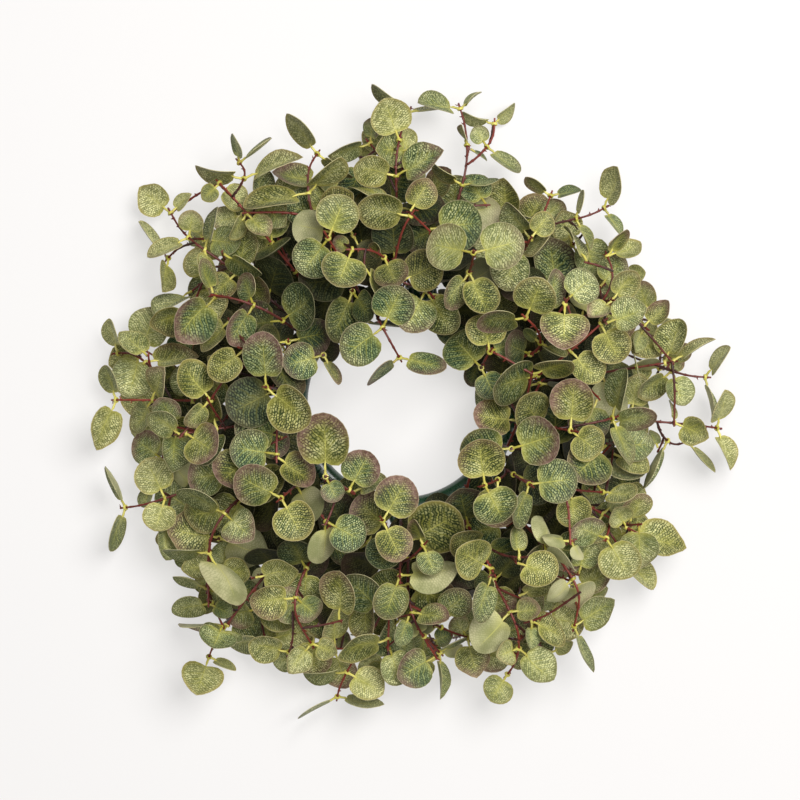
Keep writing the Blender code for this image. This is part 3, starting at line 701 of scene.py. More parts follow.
# The stems of the filling: the step from pair to pair, the bare stub, and how far inside the outlines
# they stay
FILL_STEP = 0.020
FILL_STUB = 0.003
STEM_BACK = 0.002

# The sizes of its leaves: at the ring and at the rim, and the shares of that by chance; where they start to
# be smaller and over how much; and the least size below and above a height
FILL_LEAF = (0.043, 0.033)
FILL_SIZES = (0.85, 1.1)
CROWN_END = 0.12
FILL_FADE = 0.09
FILL_LEAST = (0.014, 0.025)
FILL_LOW = 0.038

# The heights of its leaves: the lowest and the highest point, the lowest middle, and the range above that
# up to each distance from the ring's middle
FILL_FLOOR = 0.0055
FILL_TOP = 0.085
FILL_GROUND = 0.006
FILL_HEIGHTS = (
    (RING_RADIUS - 0.006, 0.012, 0.060),
    (RING_RADIUS + 0.02, 0.024, 0.075),
    (0.17, 0.010, 0.065),
    (math.inf, 0.008, 0.045),
)

# How its leaves slope, as rises for a run of 1: the greatest tilt and droop in the first and in the second
# half of the tries, the least tilt, and how much of the droop a leaf may point up instead
STEEP = ((2.4, 0.9), (1.2, 0.5))
LEAST_TILT = 0.2
UPWARDS = 0.6

# How far its leaves may pass the outlines, outwards and inwards
OVERHANG = 0.008
INHANG = 0.003

# The pictured leaves that found no room are tried again: how often, how far the last try may shift in
# pixels, rise in metres and pitch in degrees, the sizes by chance, and how near to its goal a leaf's tip is
# when it isn't lost
LOST_TRIES = 90
LOST_SHIFT = 5
LOST_RISE = 0.026
LOST_PITCH = 28
LOST_SIZES = (0.84, 1.0)
LOST_BEYOND = 0.007

# The forks of the filling: the shares of each step of a stem at which one may start, how near and how far
# that may be and how many places are tried; the least share of it that runs forwards along its stem and
# the greatest that runs along its leaf; and how much of the stem's direction it keeps at its start, and how
# much it turns across its leaf at its end
FORK_SHARES = (0.25, 0.75)
FORK_REACH = (0.012, 0.055)
STARTS_TRIED = 6
FORWARDS = 0.1
ALONG_LEAF = 0.72
START_KEEPS = 0.55
END_TURNS = 0.25

# Its feet on the ring: how far out from the tube the leaf may be, how many are tried, and how they are
# turned round and up, in degrees, for a leaf close over the tube and one further out
ROOT_REACH = 0.055
ROOTS_TRIED = 4
ROOT_TURN = 22
ROOT_LIFTS = ((55, 130), (-10, 60))
OVER_TUBE = 0.012


def outline_at(outline, bearing):
    """How far out an outline is at a bearing, between its marks."""
    marks = np.arange(len(outline) + 1) * 360 / len(outline)
    return np.interp(bearing % 360, marks, outline + outline[:1]) * PIXEL


class Cover:
    """The plan as the eye sees it, in square cells: which of them ought to be hidden by leaves and aren't
    yet."""

    def __init__(self):
        line = (np.arange(CELLS) - CELLS // 2) * CELL
        self.x, self.y = np.meshgrid(line, line)
        out = np.hypot(self.x, self.y)
        bearing = np.degrees(np.arctan2(self.y, self.x)) % 360
        edge = outline_at(NEAR_OUTLINE, bearing)
        for low, high, radius in SHOWN_RING:
            edge[(bearing > low) & (bearing < high)] = radius
        self.open = (out < outline_at(FAR_OUTLINE, bearing)) & (out > edge)
        self.left = np.ones_like(self.open)

    def hide(self, leaf):
        """Closes the cells inside the leaf's outline."""
        points = leaf_points(leaf, leaf_cage(leaf, leaf.stalk))[1:-2]
        points = points[:, :2] * ((EYE - PICTURE_LEVEL) / (EYE - points[:, 2:]))
        low = np.floor(points.min(axis=0) / CELL).astype(int) + CELLS // 2
        high = np.ceil(points.max(axis=0) / CELL).astype(int) + CELLS // 2 + 1
        part = (slice(max(low[1], 0), high[1]), slice(max(low[0], 0), high[0]))
        x, y = self.x[part], self.y[part]
        sides = [(b[0] - a[0]) * (y - a[1]) - (b[1] - a[1]) * (x - a[0])
                 for a, b in zip(points, np.roll(points, -1, axis=0))]
        inside = (np.all([side >= 0 for side in sides], axis=0)
                  | np.all([side <= 0 for side in sides], axis=0))
        self.open[part] &= ~inside

    def widest(self):
        """The place in the middle of the widest open patch that wasn't tried before, and its open
        cells."""
        sums = np.pad((self.open & self.left).astype(float), PATCH + 1).cumsum(axis=0).cumsum(axis=1)
        wide = 2 * PATCH + 1
        total = (sums[wide:-1, wide:-1] - sums[:-wide - 1, wide:-1]
                 - sums[wide:-1, :-wide - 1] + sums[:-wide - 1, :-wide - 1])
        total = total * (self.open & self.left)
        row, column = np.unravel_index(int(total.argmax()), total.shape)
        self.left[max(row - 1, 0):row + 2, max(column - 1, 0):column + 2] = False
        return self.x[row, column], self.y[row, column], total[row, column]


class Sources:
    """Places on the stems that a new fork can start from."""

    def __init__(self):
        self.spots = np.empty((0, 3))
        self.ways = np.empty((0, 3))
        self.owners = np.empty(0, int)

    def add(self, owner, path):
        for here, there in zip(path[1:], path[2:]):
            for share in FORK_SHARES:
                self.spots = np.vstack([self.spots, here * (1 - share) + there * share])
                self.ways = np.vstack([self.ways, unit(there - here)])
                self.owners = np.append(self.owners, owner)

    def near(self, eyelet, along):
        """The nearest starts from which a fork can come up to the eyelet from the side of its leaf."""
        reach = eyelet - self.spots
        far = np.linalg.norm(reach, axis=1)
        way = reach / np.maximum(far, 1e-6)[:, None]
        fits = (far > FORK_REACH[0]) & (far < FORK_REACH[1])
        fits &= ((way * self.ways).sum(axis=1) > FORWARDS) & (np.abs(way @ along) < ALONG_LEAF)
        found = np.flatnonzero(fits)
        return found[np.argsort(far[found])][:STARTS_TRIED]


def fill_size(out, draw):
    """Leaves are smaller towards the rim."""
    share = min(1.0, max(0.0, (out - CROWN_END) / FILL_FADE))
    return (FILL_LEAF[0] * (1 - share) + FILL_LEAF[1] * share) * draw.uniform(*FILL_SIZES)


def fill_height(out, draw):
    """Leaves lie highest over the ring."""
    low, high = next((low, high) for limit, low, high in FILL_HEIGHTS if out < limit)
    return draw.uniform(low, high)


def lost_goals(grown):
    """The pictured leaves that found no room beside their pair: the pair, the goal and the pair's
    height."""
    lost = []
    for spray, (stems, leaves) in zip(SPRAYS, grown):
        tips = [leaf.eyelet + (leaf.stalk + leaf.length) * leaf.along for leaf in leaves]
        for twig, (_, _, seats) in zip(spray, stems):
            for spot, _, given in seats:
                if given is None:
                    continue
                pair = twig.pairs[given]
                near = [tip for leaf, tip in zip(leaves, tips) if np.linalg.norm(leaf.eyelet - spot) < 1e-6]
                for goal in filter(None, pair[3:]):
                    aim = at(goal[0], goal[1], spot[2])
                    if not any(np.linalg.norm((tip - aim)[:2]) < LOST_BEYOND for tip in near):
                        lost.append((pair, goal, spot[2]))
    return lost


def across_stem(stem):
    """The two directions across a stem that the rule for pairs counts its turns from."""
    flat = unit(np.cross([0, 0, 1], stem) + np.array([1e-4, 0, 0]))
    return flat, np.cross(stem, flat)


def inside_outlines(path):
    """True for a stem that stays STEM_BACK inside both outlines."""
    out = np.hypot(path[:, 0], path[:, 1])
    bearing = np.degrees(np.arctan2(path[:, 1], path[:, 0]))
    near = outline_at(NEAR_OUTLINE, bearing) + STEM_BACK
    far = outline_at(FAR_OUTLINE, bearing) - STEM_BACK
    return not ((out > far).any() or (out < near).any())


class Filling:
    """The sprays while they are filled up, with the gaps that still show and the places where a fork can
    start."""

    def __init__(self, draw, grown, crowd, shown):
        self.draw = draw
        self.crowd = crowd
        self.shown = shown
        self.cover = Cover()
        self.sources = Sources()
        self.sprays = [(list(stems), list(leaves)) for stems, leaves in grown]
        for number, (stems, leaves) in enumerate(self.sprays):
            for path, _, _ in stems:
                self.sources.add(number, path)
            for leaf in leaves:
                self.cover.hide(leaf)

    def allows(self, leaf):
        """True for a leaf that is large enough, stays between the floor and the top, off the hole and near
        the outline, covers no pictured leaf and touches nothing."""
        spots = leaf_points(leaf, leaf_cage(leaf, leaf.stalk))
        out = np.linalg.norm(spots[:, :2], axis=1)
        least = FILL_LEAST[0] if spots[:, 2].max() < FILL_LOW else FILL_LEAST[1]
        if leaf.length < least or spots[:, 2].min() < FILL_FLOOR or spots[:, 2].max() > FILL_TOP:
            return False
        bearing = np.degrees(np.arctan2(spots[:, 1], spots[:, 0]))
        if (out < outline_at(NEAR_OUTLINE, bearing) - INHANG).any():
            return False
        if (out > outline_at(FAR_OUTLINE, bearing) + OVERHANG).any():
            return False
        return clear_of_shown(spots[1:], self.shown) and self.crowd.free(leaf_body(leaf))

    def starts(self, leaf):
        """Where a stem for a leaf can start: first places on stems near by and then, close to the ring, new
        feet. Each has its spray's number, its point, its direction, and True for a foot."""
        sources, eyelet = self.sources, leaf.eyelet
        found = [(int(sources.owners[index]), sources.spots[index], sources.ways[index], False)
                 for index in sources.near(eyelet, leaf.along)]
        bearing = math.degrees(math.atan2(eyelet[1], eyelet[0]))
        out = math.hypot(eyelet[0], eyelet[1])
        if out < RING_RADIUS + ROOT_REACH:
            for _ in range(ROOTS_TRIED):
                lift = self.draw.uniform(*ROOT_LIFTS[out > RING_RADIUS + OVER_TUBE])
                turn = bearing + self.draw.uniform(-ROOT_TURN, ROOT_TURN)
                found.append((len(self.sprays), *foot_frame(turn, lift, eyelet), True))
        return found

    def stem_to(self, leaf, limited):
        """A free stem that ends just past the leaf's eyelet. A limited one also stays inside the outlines
        and hides no pictured leaf."""
        eyelet = leaf.eyelet
        own = leaf_body(leaf)
        for number, point, way, rooted in self.starts(leaf):
            heading = unit(eyelet - point)
            start = way if rooted else unit(START_KEEPS * way + heading)
            end = unit(heading + END_TURNS * unit(heading - leaf.along * (leaf.along @ heading)))
            path, seats = lay_stem([point, eyelet, eyelet + FILL_STUB * end], start, end,
                                   FIRST_PAIR if rooted else FORK_PAIR, FILL_STEP)
            if path[:, 2].min() < FLOOR_GUARD:
                continue
            if limited and not (inside_outlines(path) and clear_of_shown(path[1:], self.shown)):
                continue
            bodies = stem_bodies(path)
            tested = bodies if rooted else bodies[1:]
            if not all(self.crowd.free(body) for body in tested):
                continue
            if not any(own.tree.overlap(body.tree) for body in bodies[:-2]):
                return number, path, way if rooted else None, seats
        return None

    def keep(self, leaf, number):
        """Gives a leaf its place in the crowd, in its spray and over the gaps."""
        self.crowd.add(leaf_body(leaf))
        self.sprays[number][1].append(leaf)
        self.cover.hide(leaf)

    def settle(self, leaf, found):
        """Adds a leaf and the stem found for it, with the leaves that the rule gives the rest of the
        stem."""
        number, path, start, seats = found
        if number == len(self.sprays):
            self.sprays.append(([], []))
        self.sprays[number][0].append((path, start, seats))
        self.sources.add(number, path)
        for body in stem_bodies(path):
            self.crowd.add(body)
        self.keep(leaf, number)
        flat, steep = across_stem(seats[-1][1])
        angle = math.atan2(leaf.along @ steep, leaf.along @ flat)
        for spot, stem, given in seats[::-1]:
            for side in (1, -1):
                if given is not None and side == 1:
                    continue
                for other in ruled_choices(spot, stem, angle, side, leaf.length, self.draw):
                    if self.allows(other):
                        self.keep(other, number)
                        break
            angle += math.pi / 2

    def retry(self, pair, goal, height):
        """Tries a pictured leaf on a stem of its own, each time a little further from its place."""
        draw = self.draw
        for attempt in range(LOST_TRIES):
            shift = [draw.uniform(-LOST_SHIFT, LOST_SHIFT) * attempt / LOST_TRIES for _ in range(2)]
            rise = draw.uniform(-LOST_RISE, LOST_RISE) * attempt / LOST_TRIES
            eyelet = at(pair.u + shift[0], pair.v + shift[1], height + rise)
            aim = (goal[0] + shift[0], goal[1] + shift[1], *goal[2:])
            pitch_more = draw.uniform(-LOST_PITCH, LOST_PITCH) * attempt / LOST_TRIES
            leaf = pictured_leaf(eyelet, aim, pitch_more, draw.choice((1, -1)), draw.choice((1, -1)),
                                 draw.uniform(*LOST_SIZES))
            if not roomy(leaf, False) or not self.crowd.free(leaf_body(leaf)):
                continue
            found = self.stem_to(leaf, False)
            if found:
                self.settle(leaf, found)
                return

    def aimed_leaf(self, x, y, lift, smaller, steepest):
        """A leaf whose middle hides a place of the plan, with its height, turn and tilt by chance."""
        draw = self.draw
        height = FILL_GROUND + lift * fill_height(math.hypot(x, y), draw)
        size = fill_size(math.hypot(x, y), draw) * (1 - smaller)
        scale = (EYE - height) / (EYE - PICTURE_LEVEL)
        gap = np.array([x * scale, y * scale, height])
        turn, lean = draw.uniform(-math.pi, math.pi), draw.uniform(-math.pi, math.pi)
        steep, droop = steepest
        side = np.array([math.cos(turn), math.sin(turn), draw.uniform(-droop, UPWARDS * droop)])
        tilt = draw.uniform(LEAST_TILT, steep)
        facing = np.array([tilt * math.cos(lean), tilt * math.sin(lean), 1.0])
        away = STALK + (STALK_SHARE + 0.5) * size
        return framed_leaf(gap + away * unit(side), -side, facing, size, WIDE * size)

    def fill(self, tries, smallest, lift, shrink):
        """One run over the gaps, always at the widest that is left, until all are smaller than they may
        be."""
        self.cover.left[:] = True
        while True:
            x, y, total = self.cover.widest()
            if total < smallest:
                return
            for attempt in range(tries):
                leaf = self.aimed_leaf(x, y, lift, shrink * attempt / tries, STEEP[attempt > tries / 2])
                if not self.allows(leaf):
                    continue
                found = self.stem_to(leaf, True)
                if found:
                    self.settle(leaf, found)
                    break


def grow_fill(draw, grown, crowd, shown):
    """New forks and low twigs: first for the pictured leaves that found no room, and then over the gaps that
    still show. They are added to the spray that they fork from, or are new sprays on the ring."""
    filling = Filling(draw, grown, crowd, shown)
    for lost in lost_goals(grown):
        filling.retry(*lost)
    for run in FILL_RUNS:
        filling.fill(*run)
    return filling.sprays


# The fine leaf: the points round its outline, the rings of them from the middle to the rim, and the cloth
AROUND = 22
RINGS = np.array([0.60, 1.0])
CLOTH = 0.0005

# What makes its outline differ from a circle, in radians round it from the stalk: how wide the notch is;
# how high, where and how wide the shoulders are; and how high and how wide the tip is
NOTCH_WIDTH = 0.34
SHOULDER, SHOULDER_AT, SHOULDER_WIDTH = 0.06, 0.75, 0.45
TIP, TIP_WIDTH = 0.02, 0.28

# The point of some outer leaves: from where and over how much more distance it grows, how much it adds to
# the tip and takes off the sides, where and how wide these are drawn in, and how much it adds to the fold
POINT_FROM = 0.13
POINT_OVER = 0.06
POINT = 0.11
POINT_SIDE_AT, POINT_SIDE_WIDTH = 2.4, 0.45
POINT_FOLD = 0.05
WAVE = 0.016

# The stalk's radii along its length, and the eyelet: its ring, its tube and the points of each
STALK_RADII = (0.00120, 0.00090, 0.00100, 0.00040)
STALK_SIDES = 6
EYELET_RADIUS = 0.0019
EYELET_TUBE = 0.00075
EYELET_STEPS = 10
EYELET_SIDES = 6

# The fine stem: its radius at the foot, for a fork as a share of that, and at the tip; the length of a step;
# and the knots along it
STEM_SIDES = 8
STEM_FOOT = 0.00125
FORK_FOOT = 0.8
STEM_TIP = 0.00072
STEM_CUT = 0.0016
FIRST_KNOT = 0.006
KNOT_STEP = 0.0085
KNOT_STRAY = 0.0018
KNOT_SWELL = 0.38
KNOT_LENGTH = 0.0011

# The thorns: a full length, and the shares of it by chance; for a length of 1 the points outwards and along
# the stem; and the radii as shares of the stem's
THORN = 0.0026
THORN_SIZES = (0.55, 1.15)
THORN_COURSE = np.array([[0.2, 0], [0.6, 0.12], [1, 0.35]])
THORN_RADII = np.array([0.75, 0.5, 0.18])
THORN_SIDES = 5

# The fine ring: its points, the depth that its flat underside cuts off, and the seam
RING_FINE_STEPS = 144
RING_FINE_SIDES = 28
RING_FLAT = 0.0009
SEAM = 0.00022
SEAM_WIDTH = 0.12

# The collar round each foot: places along the foot's direction and the radius at each
COLLAR = 0.0042
COLLAR_REACH = np.array([-0.004, 0.001, 0.75 * COLLAR, COLLAR])
COLLAR_RADII = np.array([0.0040, 0.0036, 0.0026, 0.0021])
COLLAR_SIDES = 10


def grid_faces(rows, columns):
    """The four corners of each cell of a grid of points, row by row, with the last column joined to the
    first."""
    row, column = np.meshgrid(np.arange(rows - 1), np.arange(columns), indexing="ij")
    after = (column + 1) % columns
    here, there = row * columns, (row + 1) * columns
    return np.stack([here + column, here + after, there + after, there + column], axis=-1).reshape(-1, 4)


def wreathed_faces(rows, columns):
    """The same with the last row joined to the first too, turned so that they face outwards."""
    return grid_faces(rows + 1, columns)[:, ::-1] % (rows * columns)


class Surface:
    """Points, faces, a place on the leaf and the values that the materials read, gathered from many
    shapes."""

    # pale holds a leaf's own paleness above nought and its painted shade below nought
    KEYS = ("edge", "under", "tint", "blush", "pale")

    def __init__(self):
        self.points = []
        self.places = []
        self.values = {key: [] for key in self.KEYS}
        self.faces = []
        self.finishes = []
        self.count = 0

    def add(self, points, faces, finish, places=None, **values):
        points = points.reshape(-1, 3)
        self.points.append(points)
        self.places.append(np.zeros((len(points), 2)) if places is None else places.reshape(-1, 2))
        for key in self.KEYS:
            self.values[key].append(np.broadcast_to(values.get(key, 0.0), len(points)))
        for group in faces:
            self.faces += (group + self.count).tolist()
            self.finishes.append(np.full(len(group), finish))
        self.count += len(points)

    def build(self, name, materials, smooth_to):
        """The gathered shapes as one object in the frame's place."""
        mesh = bpy.data.meshes.new(name)
        points = np.vstack(self.points) + SHIFT
        mesh.from_pydata(points, [], self.faces)
        for key in self.KEYS:
            layer = mesh.attributes.new(key, "FLOAT", "POINT")
            layer.data.foreach_set("value", np.concatenate(self.values[key]).astype(np.float32))
        corners = np.empty(len(mesh.loops), np.int32)
        mesh.loops.foreach_get("vertex_index", corners)
        flat = mesh.uv_layers.new(name="leaf")
        flat.data.foreach_set("uv", np.vstack(self.places)[corners].astype(np.float32).ravel())
        for finish in materials:
            mesh.materials.append(finish)
        mesh.polygons.foreach_set("material_index", np.concatenate(self.finishes).astype(np.int32))
        mesh.shade_smooth()
        mesh.set_sharp_from_angle(angle=math.radians(smooth_to))
        mesh.validate()
        made = bpy.data.objects.new(name, mesh)
        bpy.context.scene.collection.objects.link(made)
        return made


def side_frame(along):
    """Two directions square to each of the given ones."""
    guide = np.where(np.abs(along[:, 2:3]) > 0.9, [[1.0, 0, 0]], [[0, 0, 1.0]])
    side = np.cross(guide, along)
    side /= np.linalg.norm(side, axis=1, keepdims=True)
    return side, np.cross(along, side)


def tube(path, radii, sides):
    """A circle carried along a path, one turn of points for each path point, closed by a point at each
    end."""
    along = np.gradient(path, axis=0)
    along /= np.linalg.norm(along, axis=1, keepdims=True)
    side, other = side_frame(along)
    turn = 2 * np.pi * np.arange(sides) / sides
    circle = (np.cos(turn)[None, :, None] * side[:, None, :]
              + np.sin(turn)[None, :, None] * other[:, None, :])
    points = path[:, None, :] + radii[:, None, None] * circle
    cells = grid_faces(len(path), sides)
    first, last = len(path) * sides, len(path) * sides + 1
    ring = np.arange(sides)
    start = np.column_stack([np.full(sides, first), (ring + 1) % sides, ring])
    top = (len(path) - 1) * sides
    end = np.column_stack([np.full(sides, last), top + ring, top + (ring + 1) % sides])
    return np.vstack([points.reshape(-1, 3), path[:1], path[-1:]]), [cells, start, end]


def bell(x, width):
    """1 at nought, falling off smoothly to both sides."""
    return np.exp(-(x / width) ** 2)


def leaf_shapes(leaves, looks, surface):
    """All leaves of a spray at once. In the blade's own plane, with p from -1 at the stalk to 1 at the
    tip and q from -1 to 1 across, the outline is a circle drawn in at the stalk and, on some leaves far
    from the ring's middle, drawn out to a point at the tip. The height is a cup, a fold along the middle,
    a wave round the edge and a bend along the length. Both faces are made, half the cloth away from
    it."""
    eyelet = np.array([leaf.eyelet for leaf in leaves])
    along = np.array([leaf.along for leaf in leaves])
    across = np.array([leaf.across for leaf in leaves])
    facing = np.array([leaf.facing for leaf in leaves])
    length, width, stalk = np.array([[leaf.length, leaf.width, leaf.stalk] for leaf in leaves]).T[:, :, None]
    notch, lobe, phase, cup, fold, bend = looks["shape"].T[:, :, None]
    turn = (2 * np.pi * np.arange(AROUND) / AROUND)[None, :]
    near = (turn + np.pi) % (2 * np.pi) - np.pi
    out = np.linalg.norm(eyelet[:, :2], axis=1)[:, None]
    point = np.clip((out - POINT_FROM) / POINT_OVER, 0.0, 1.0) * (0.5 + 0.5 * np.sin(5 * phase))
    fold = fold + POINT_FOLD * point
    rim = (1 - notch * bell(near, NOTCH_WIDTH) + SHOULDER * bell(np.abs(near) - SHOULDER_AT, SHOULDER_WIDTH)
           + lobe * np.cos(3 * turn + phase) + (TIP + POINT * point) * bell(np.pi - np.abs(near), TIP_WIDTH)
           - POINT * point * bell(np.abs(near) - POINT_SIDE_AT, POINT_SIDE_WIDTH))
    p = np.concatenate([np.zeros((len(leaves), 1))] + [-ring * rim * np.cos(turn) for ring in RINGS], axis=1)
    q = np.concatenate([np.zeros((len(leaves), 1))] + [ring * rim * np.sin(turn) for ring in RINGS], axis=1)
    edge = np.concatenate([[0.0], np.repeat(RINGS, AROUND)])[None, :]
    angle = np.concatenate([[0.0], np.tile(turn[0], len(RINGS))])[None, :]
    height = (cup * (edge**2 - 1) + fold * (np.abs(q) - 0.4) + bend * (p**2 - 0.4)
              + WAVE * np.sin(2 * angle + 1.7 * phase) * edge**2) * length
    middle = (eyelet[:, None] + (stalk + length / 2 + p * length / 2)[..., None] * along[:, None]
              + (q * width / 2)[..., None] * across[:, None] + height[..., None] * facing[:, None])
    offset = facing[:, None] * CLOTH / 2
    ring = np.arange(AROUND)
    after = (ring + 1) % AROUND
    fan = np.column_stack([np.zeros(AROUND, int), 1 + after, 1 + ring])
    bands = [np.column_stack([ring, after, AROUND + after, AROUND + ring]) + 1 + AROUND * step
             for step in range(len(RINGS) - 1)]
    size = 1 + len(RINGS) * AROUND
    last = size - AROUND
    hem = np.column_stack([last + ring, last + after, size + last + after, size + last + ring])
    triangles = np.vstack([fan, fan[:, ::-1] + size])
    quads = np.vstack([*bands, *(band[:, ::-1] + size for band in bands), hem])
    base = (2 * size * np.arange(len(leaves)))[:, None, None]
    places = np.stack([(p + 1) / 2, (q + 1) / 2], axis=-1)

    def on_both_faces(values):
        return np.broadcast_to(values, (len(leaves), 2, size)).ravel()

    surface.add(
        np.stack([middle + offset, middle - offset], axis=1),
        [(triangles + base).reshape(-1, 3), (quads + base).reshape(-1, 4)],
        0,
        np.stack([places, places], axis=1),
        edge=on_both_faces(edge[:, None]),
        under=on_both_faces(np.array([0.0, 1.0])[None, :, None]),
        **{key: on_both_faces(looks[key][:, None, None]) for key in ("tint", "blush", "pale")},
    )


def stalk_shape(leaf, surface, tint):
    """A tube from the eyelet into the blade, thinner where it becomes the rib."""
    reach = np.array([EYELET_RADIUS * 0.8, leaf.stalk * 0.7, leaf.stalk + 0.02 * leaf.length,
                      leaf.stalk + 0.13 * leaf.length])
    path = leaf.eyelet + reach[:, None] * leaf.along
    path = path + np.array([0, 0, 0.005, -0.02])[:, None] * leaf.length * leaf.facing
    points, faces = tube(path, np.array(STALK_RADII), STALK_SIDES)
    surface.add(points, faces, 1, tint=tint)


def eyelet_shape(spot, stem, surface, tint):
    """A small ring round the stem: a circle turned round the stem's direction."""
    side, other = (direction[0] for direction in side_frame(stem[None]))
    turn = 2 * np.pi * np.arange(EYELET_STEPS) / EYELET_STEPS
    spin = 2 * np.pi * np.arange(EYELET_SIDES) / EYELET_SIDES
    out = np.cos(turn)[:, None] * side + np.sin(turn)[:, None] * other
    radius = EYELET_RADIUS + EYELET_TUBE * np.cos(spin)
    points = (spot + out[:, None] * radius[None, :, None]
              + 1.5 * EYELET_TUBE * np.sin(spin)[None, :, None] * stem)
    surface.add(points, [wreathed_faces(EYELET_STEPS, EYELET_SIDES)], 1, tint=tint)


def stem_course(path, pieces=5):
    """A smooth curve that keeps to the middles of the path's steps, with the path's corners as its
    pulls."""
    middles = (path[1:] + path[:-1]) / 2
    t = (np.arange(pieces) / pieces)[:, None]
    course = [path[:1]]
    for left, corner, right in zip(middles, path[1:-1], middles[1:]):
        course.append((1 - t) ** 2 * left + 2 * t * (1 - t) * corner + t**2 * right)
    course += [middles[-1:], path[-1:]]
    return np.vstack(course)


def stem_shape(path, surface, draw, rooted):
    """A tube along the course that thins to its tip, swollen at each knot, with a thorn at every knot."""
    course = stem_course(path)
    run = np.concatenate([[0], np.cumsum(np.linalg.norm(np.diff(course, axis=0), axis=1))])
    count = max(8, round(run[-1] / STEM_CUT))
    places = np.linspace(0, run[-1], count)
    fine = np.column_stack([np.interp(places, run, course[:, k]) for k in range(3)])
    knots = np.arange(FIRST_KNOT, run[-1], KNOT_STEP)
    knots = knots + np.array([draw.uniform(-KNOT_STRAY, KNOT_STRAY) for _ in knots])
    start = STEM_FOOT if rooted else FORK_FOOT * STEM_FOOT
    radii = start + (STEM_TIP - start) * places / run[-1]
    radii = radii * (1 + KNOT_SWELL * bell(places[:, None] - knots, KNOT_LENGTH).sum(axis=1))
    points, faces = tube(fine, radii, STEM_SIDES)
    shade = draw.random()
    way = np.concatenate([np.repeat(places / run[-1], STEM_SIDES), [0, 1]])
    surface.add(points, faces, 0, tint=shade, edge=way)
    along = np.gradient(fine, axis=0)
    along /= np.linalg.norm(along, axis=1, keepdims=True)
    side, other = side_frame(along)
    for knot in knots:
        index = min(int(np.searchsorted(places, knot)), count - 1)
        turn = draw.uniform(0, 2 * math.pi)
        out = math.cos(turn) * side[index] + math.sin(turn) * other[index]
        size = THORN * draw.uniform(*THORN_SIZES)
        reach = THORN_COURSE[:, :1] * out + THORN_COURSE[:, 1:] * along[index]
        thorn = fine[index] + radii[index] * 0.5 * out + size * reach
        points, faces = tube(thorn, radii[index] * THORN_RADII, THORN_SIDES)
        surface.add(points, faces, 0, tint=shade, edge=places[index] / run[-1])


def ring_shape(surface, feet):
    """A circle turned round the Z axis, flattened underneath, with a low seam on its outer and inner
    side, and a small tapered collar round each foot."""
    turn = 2 * np.pi * np.arange(RING_FINE_STEPS) / RING_FINE_STEPS
    spin = 2 * np.pi * np.arange(RING_FINE_SIDES) / RING_FINE_SIDES
    seam = SEAM * bell(np.sin(spin), SEAM_WIDTH)
    out = RING_RADIUS + (TUBE_RADIUS + seam) * np.cos(spin)
    up = np.maximum(TUBE_RADIUS + TUBE_RADIUS * np.sin(spin), 0.0)
    up = np.where(up < RING_FLAT, 0.0, up)
    points = np.stack([np.cos(turn)[:, None] * out, np.sin(turn)[:, None] * out,
                       np.broadcast_to(up, (RING_FINE_STEPS, RING_FINE_SIDES))], axis=-1)
    surface.add(points, [wreathed_faces(RING_FINE_STEPS, RING_FINE_SIDES)], 0)
    for point, start in feet:
        points, faces = tube(point + COLLAR_REACH[:, None] * start, COLLAR_RADII, COLLAR_SIDES)
        surface.add(points, faces, 0)


def tone(red, green, blue):
    """A colour of light from its three screen values of 0 to 255."""
    share = np.array([red, green, blue]) / 255
    return (*np.where(share <= 0.04045, share / 12.92, ((share + 0.055) / 1.055) ** 2.4), 1.0)


# The colours of the cloth, the stalks, the stems and the ring. The cloth's darkest ground is a painted shade
# for leaves deep in the crowd
GROUND_BLUE, GROUND_GREEN, PAINTED_SHADE = tone(12, 46, 29), tone(33, 47, 14), tone(20, 17, 4)
GROUND_LIGHT, GROUND_PALE = tone(67, 87, 44), tone(124, 129, 68)
FLECK_BLUE, FLECK_GREEN, FLECK_BRIGHT = tone(152, 172, 118), tone(178, 174, 96), tone(234, 232, 174)
FOOT_DULL, FOOT_BRIGHT = tone(146, 146, 58), tone(206, 202, 110)
RIM_GREEN, RIM_PALE = tone(83, 91, 42), tone(168, 155, 80)
MAUVE_DARK, MAUVE_LIGHT = tone(88, 56, 54), tone(152, 120, 112)
# A painted highlight: the thin pale line round each leaf's edge
EDGE_HIGHLIGHT = tone(216, 202, 164)
SAGE_DARK, SAGE_LIGHT, SAGE_VEIN = tone(142, 145, 100), tone(199, 196, 152), tone(118, 121, 72)
STALK_DULL, STALK_BRIGHT, STALK_BROWN = tone(164, 156, 56), tone(206, 198, 98), tone(134, 100, 46)
BARK_DARK, BARK_RED, BARK_BRIGHT = tone(44, 16, 12), tone(100, 36, 26), tone(150, 58, 42)
BARK_SCUFF = tone(116, 72, 50)
RING_DARK, RING_GREEN, RING_SCUFF = tone(12, 40, 24), tone(22, 62, 38), tone(66, 96, 72)

# The floor under the wreath: the tint of its light, its two paper colours and how strongly it glows, a
# painted glow that keeps the shadows on it faint
WARM_WHITE = (1.0, 0.985, 0.975, 1)
PAPER_DARK, PAPER_LIGHT = (0.300, 0.297, 0.295, 1), (0.309, 0.306, 0.304, 1)
PAPER_GLOW = 0.56


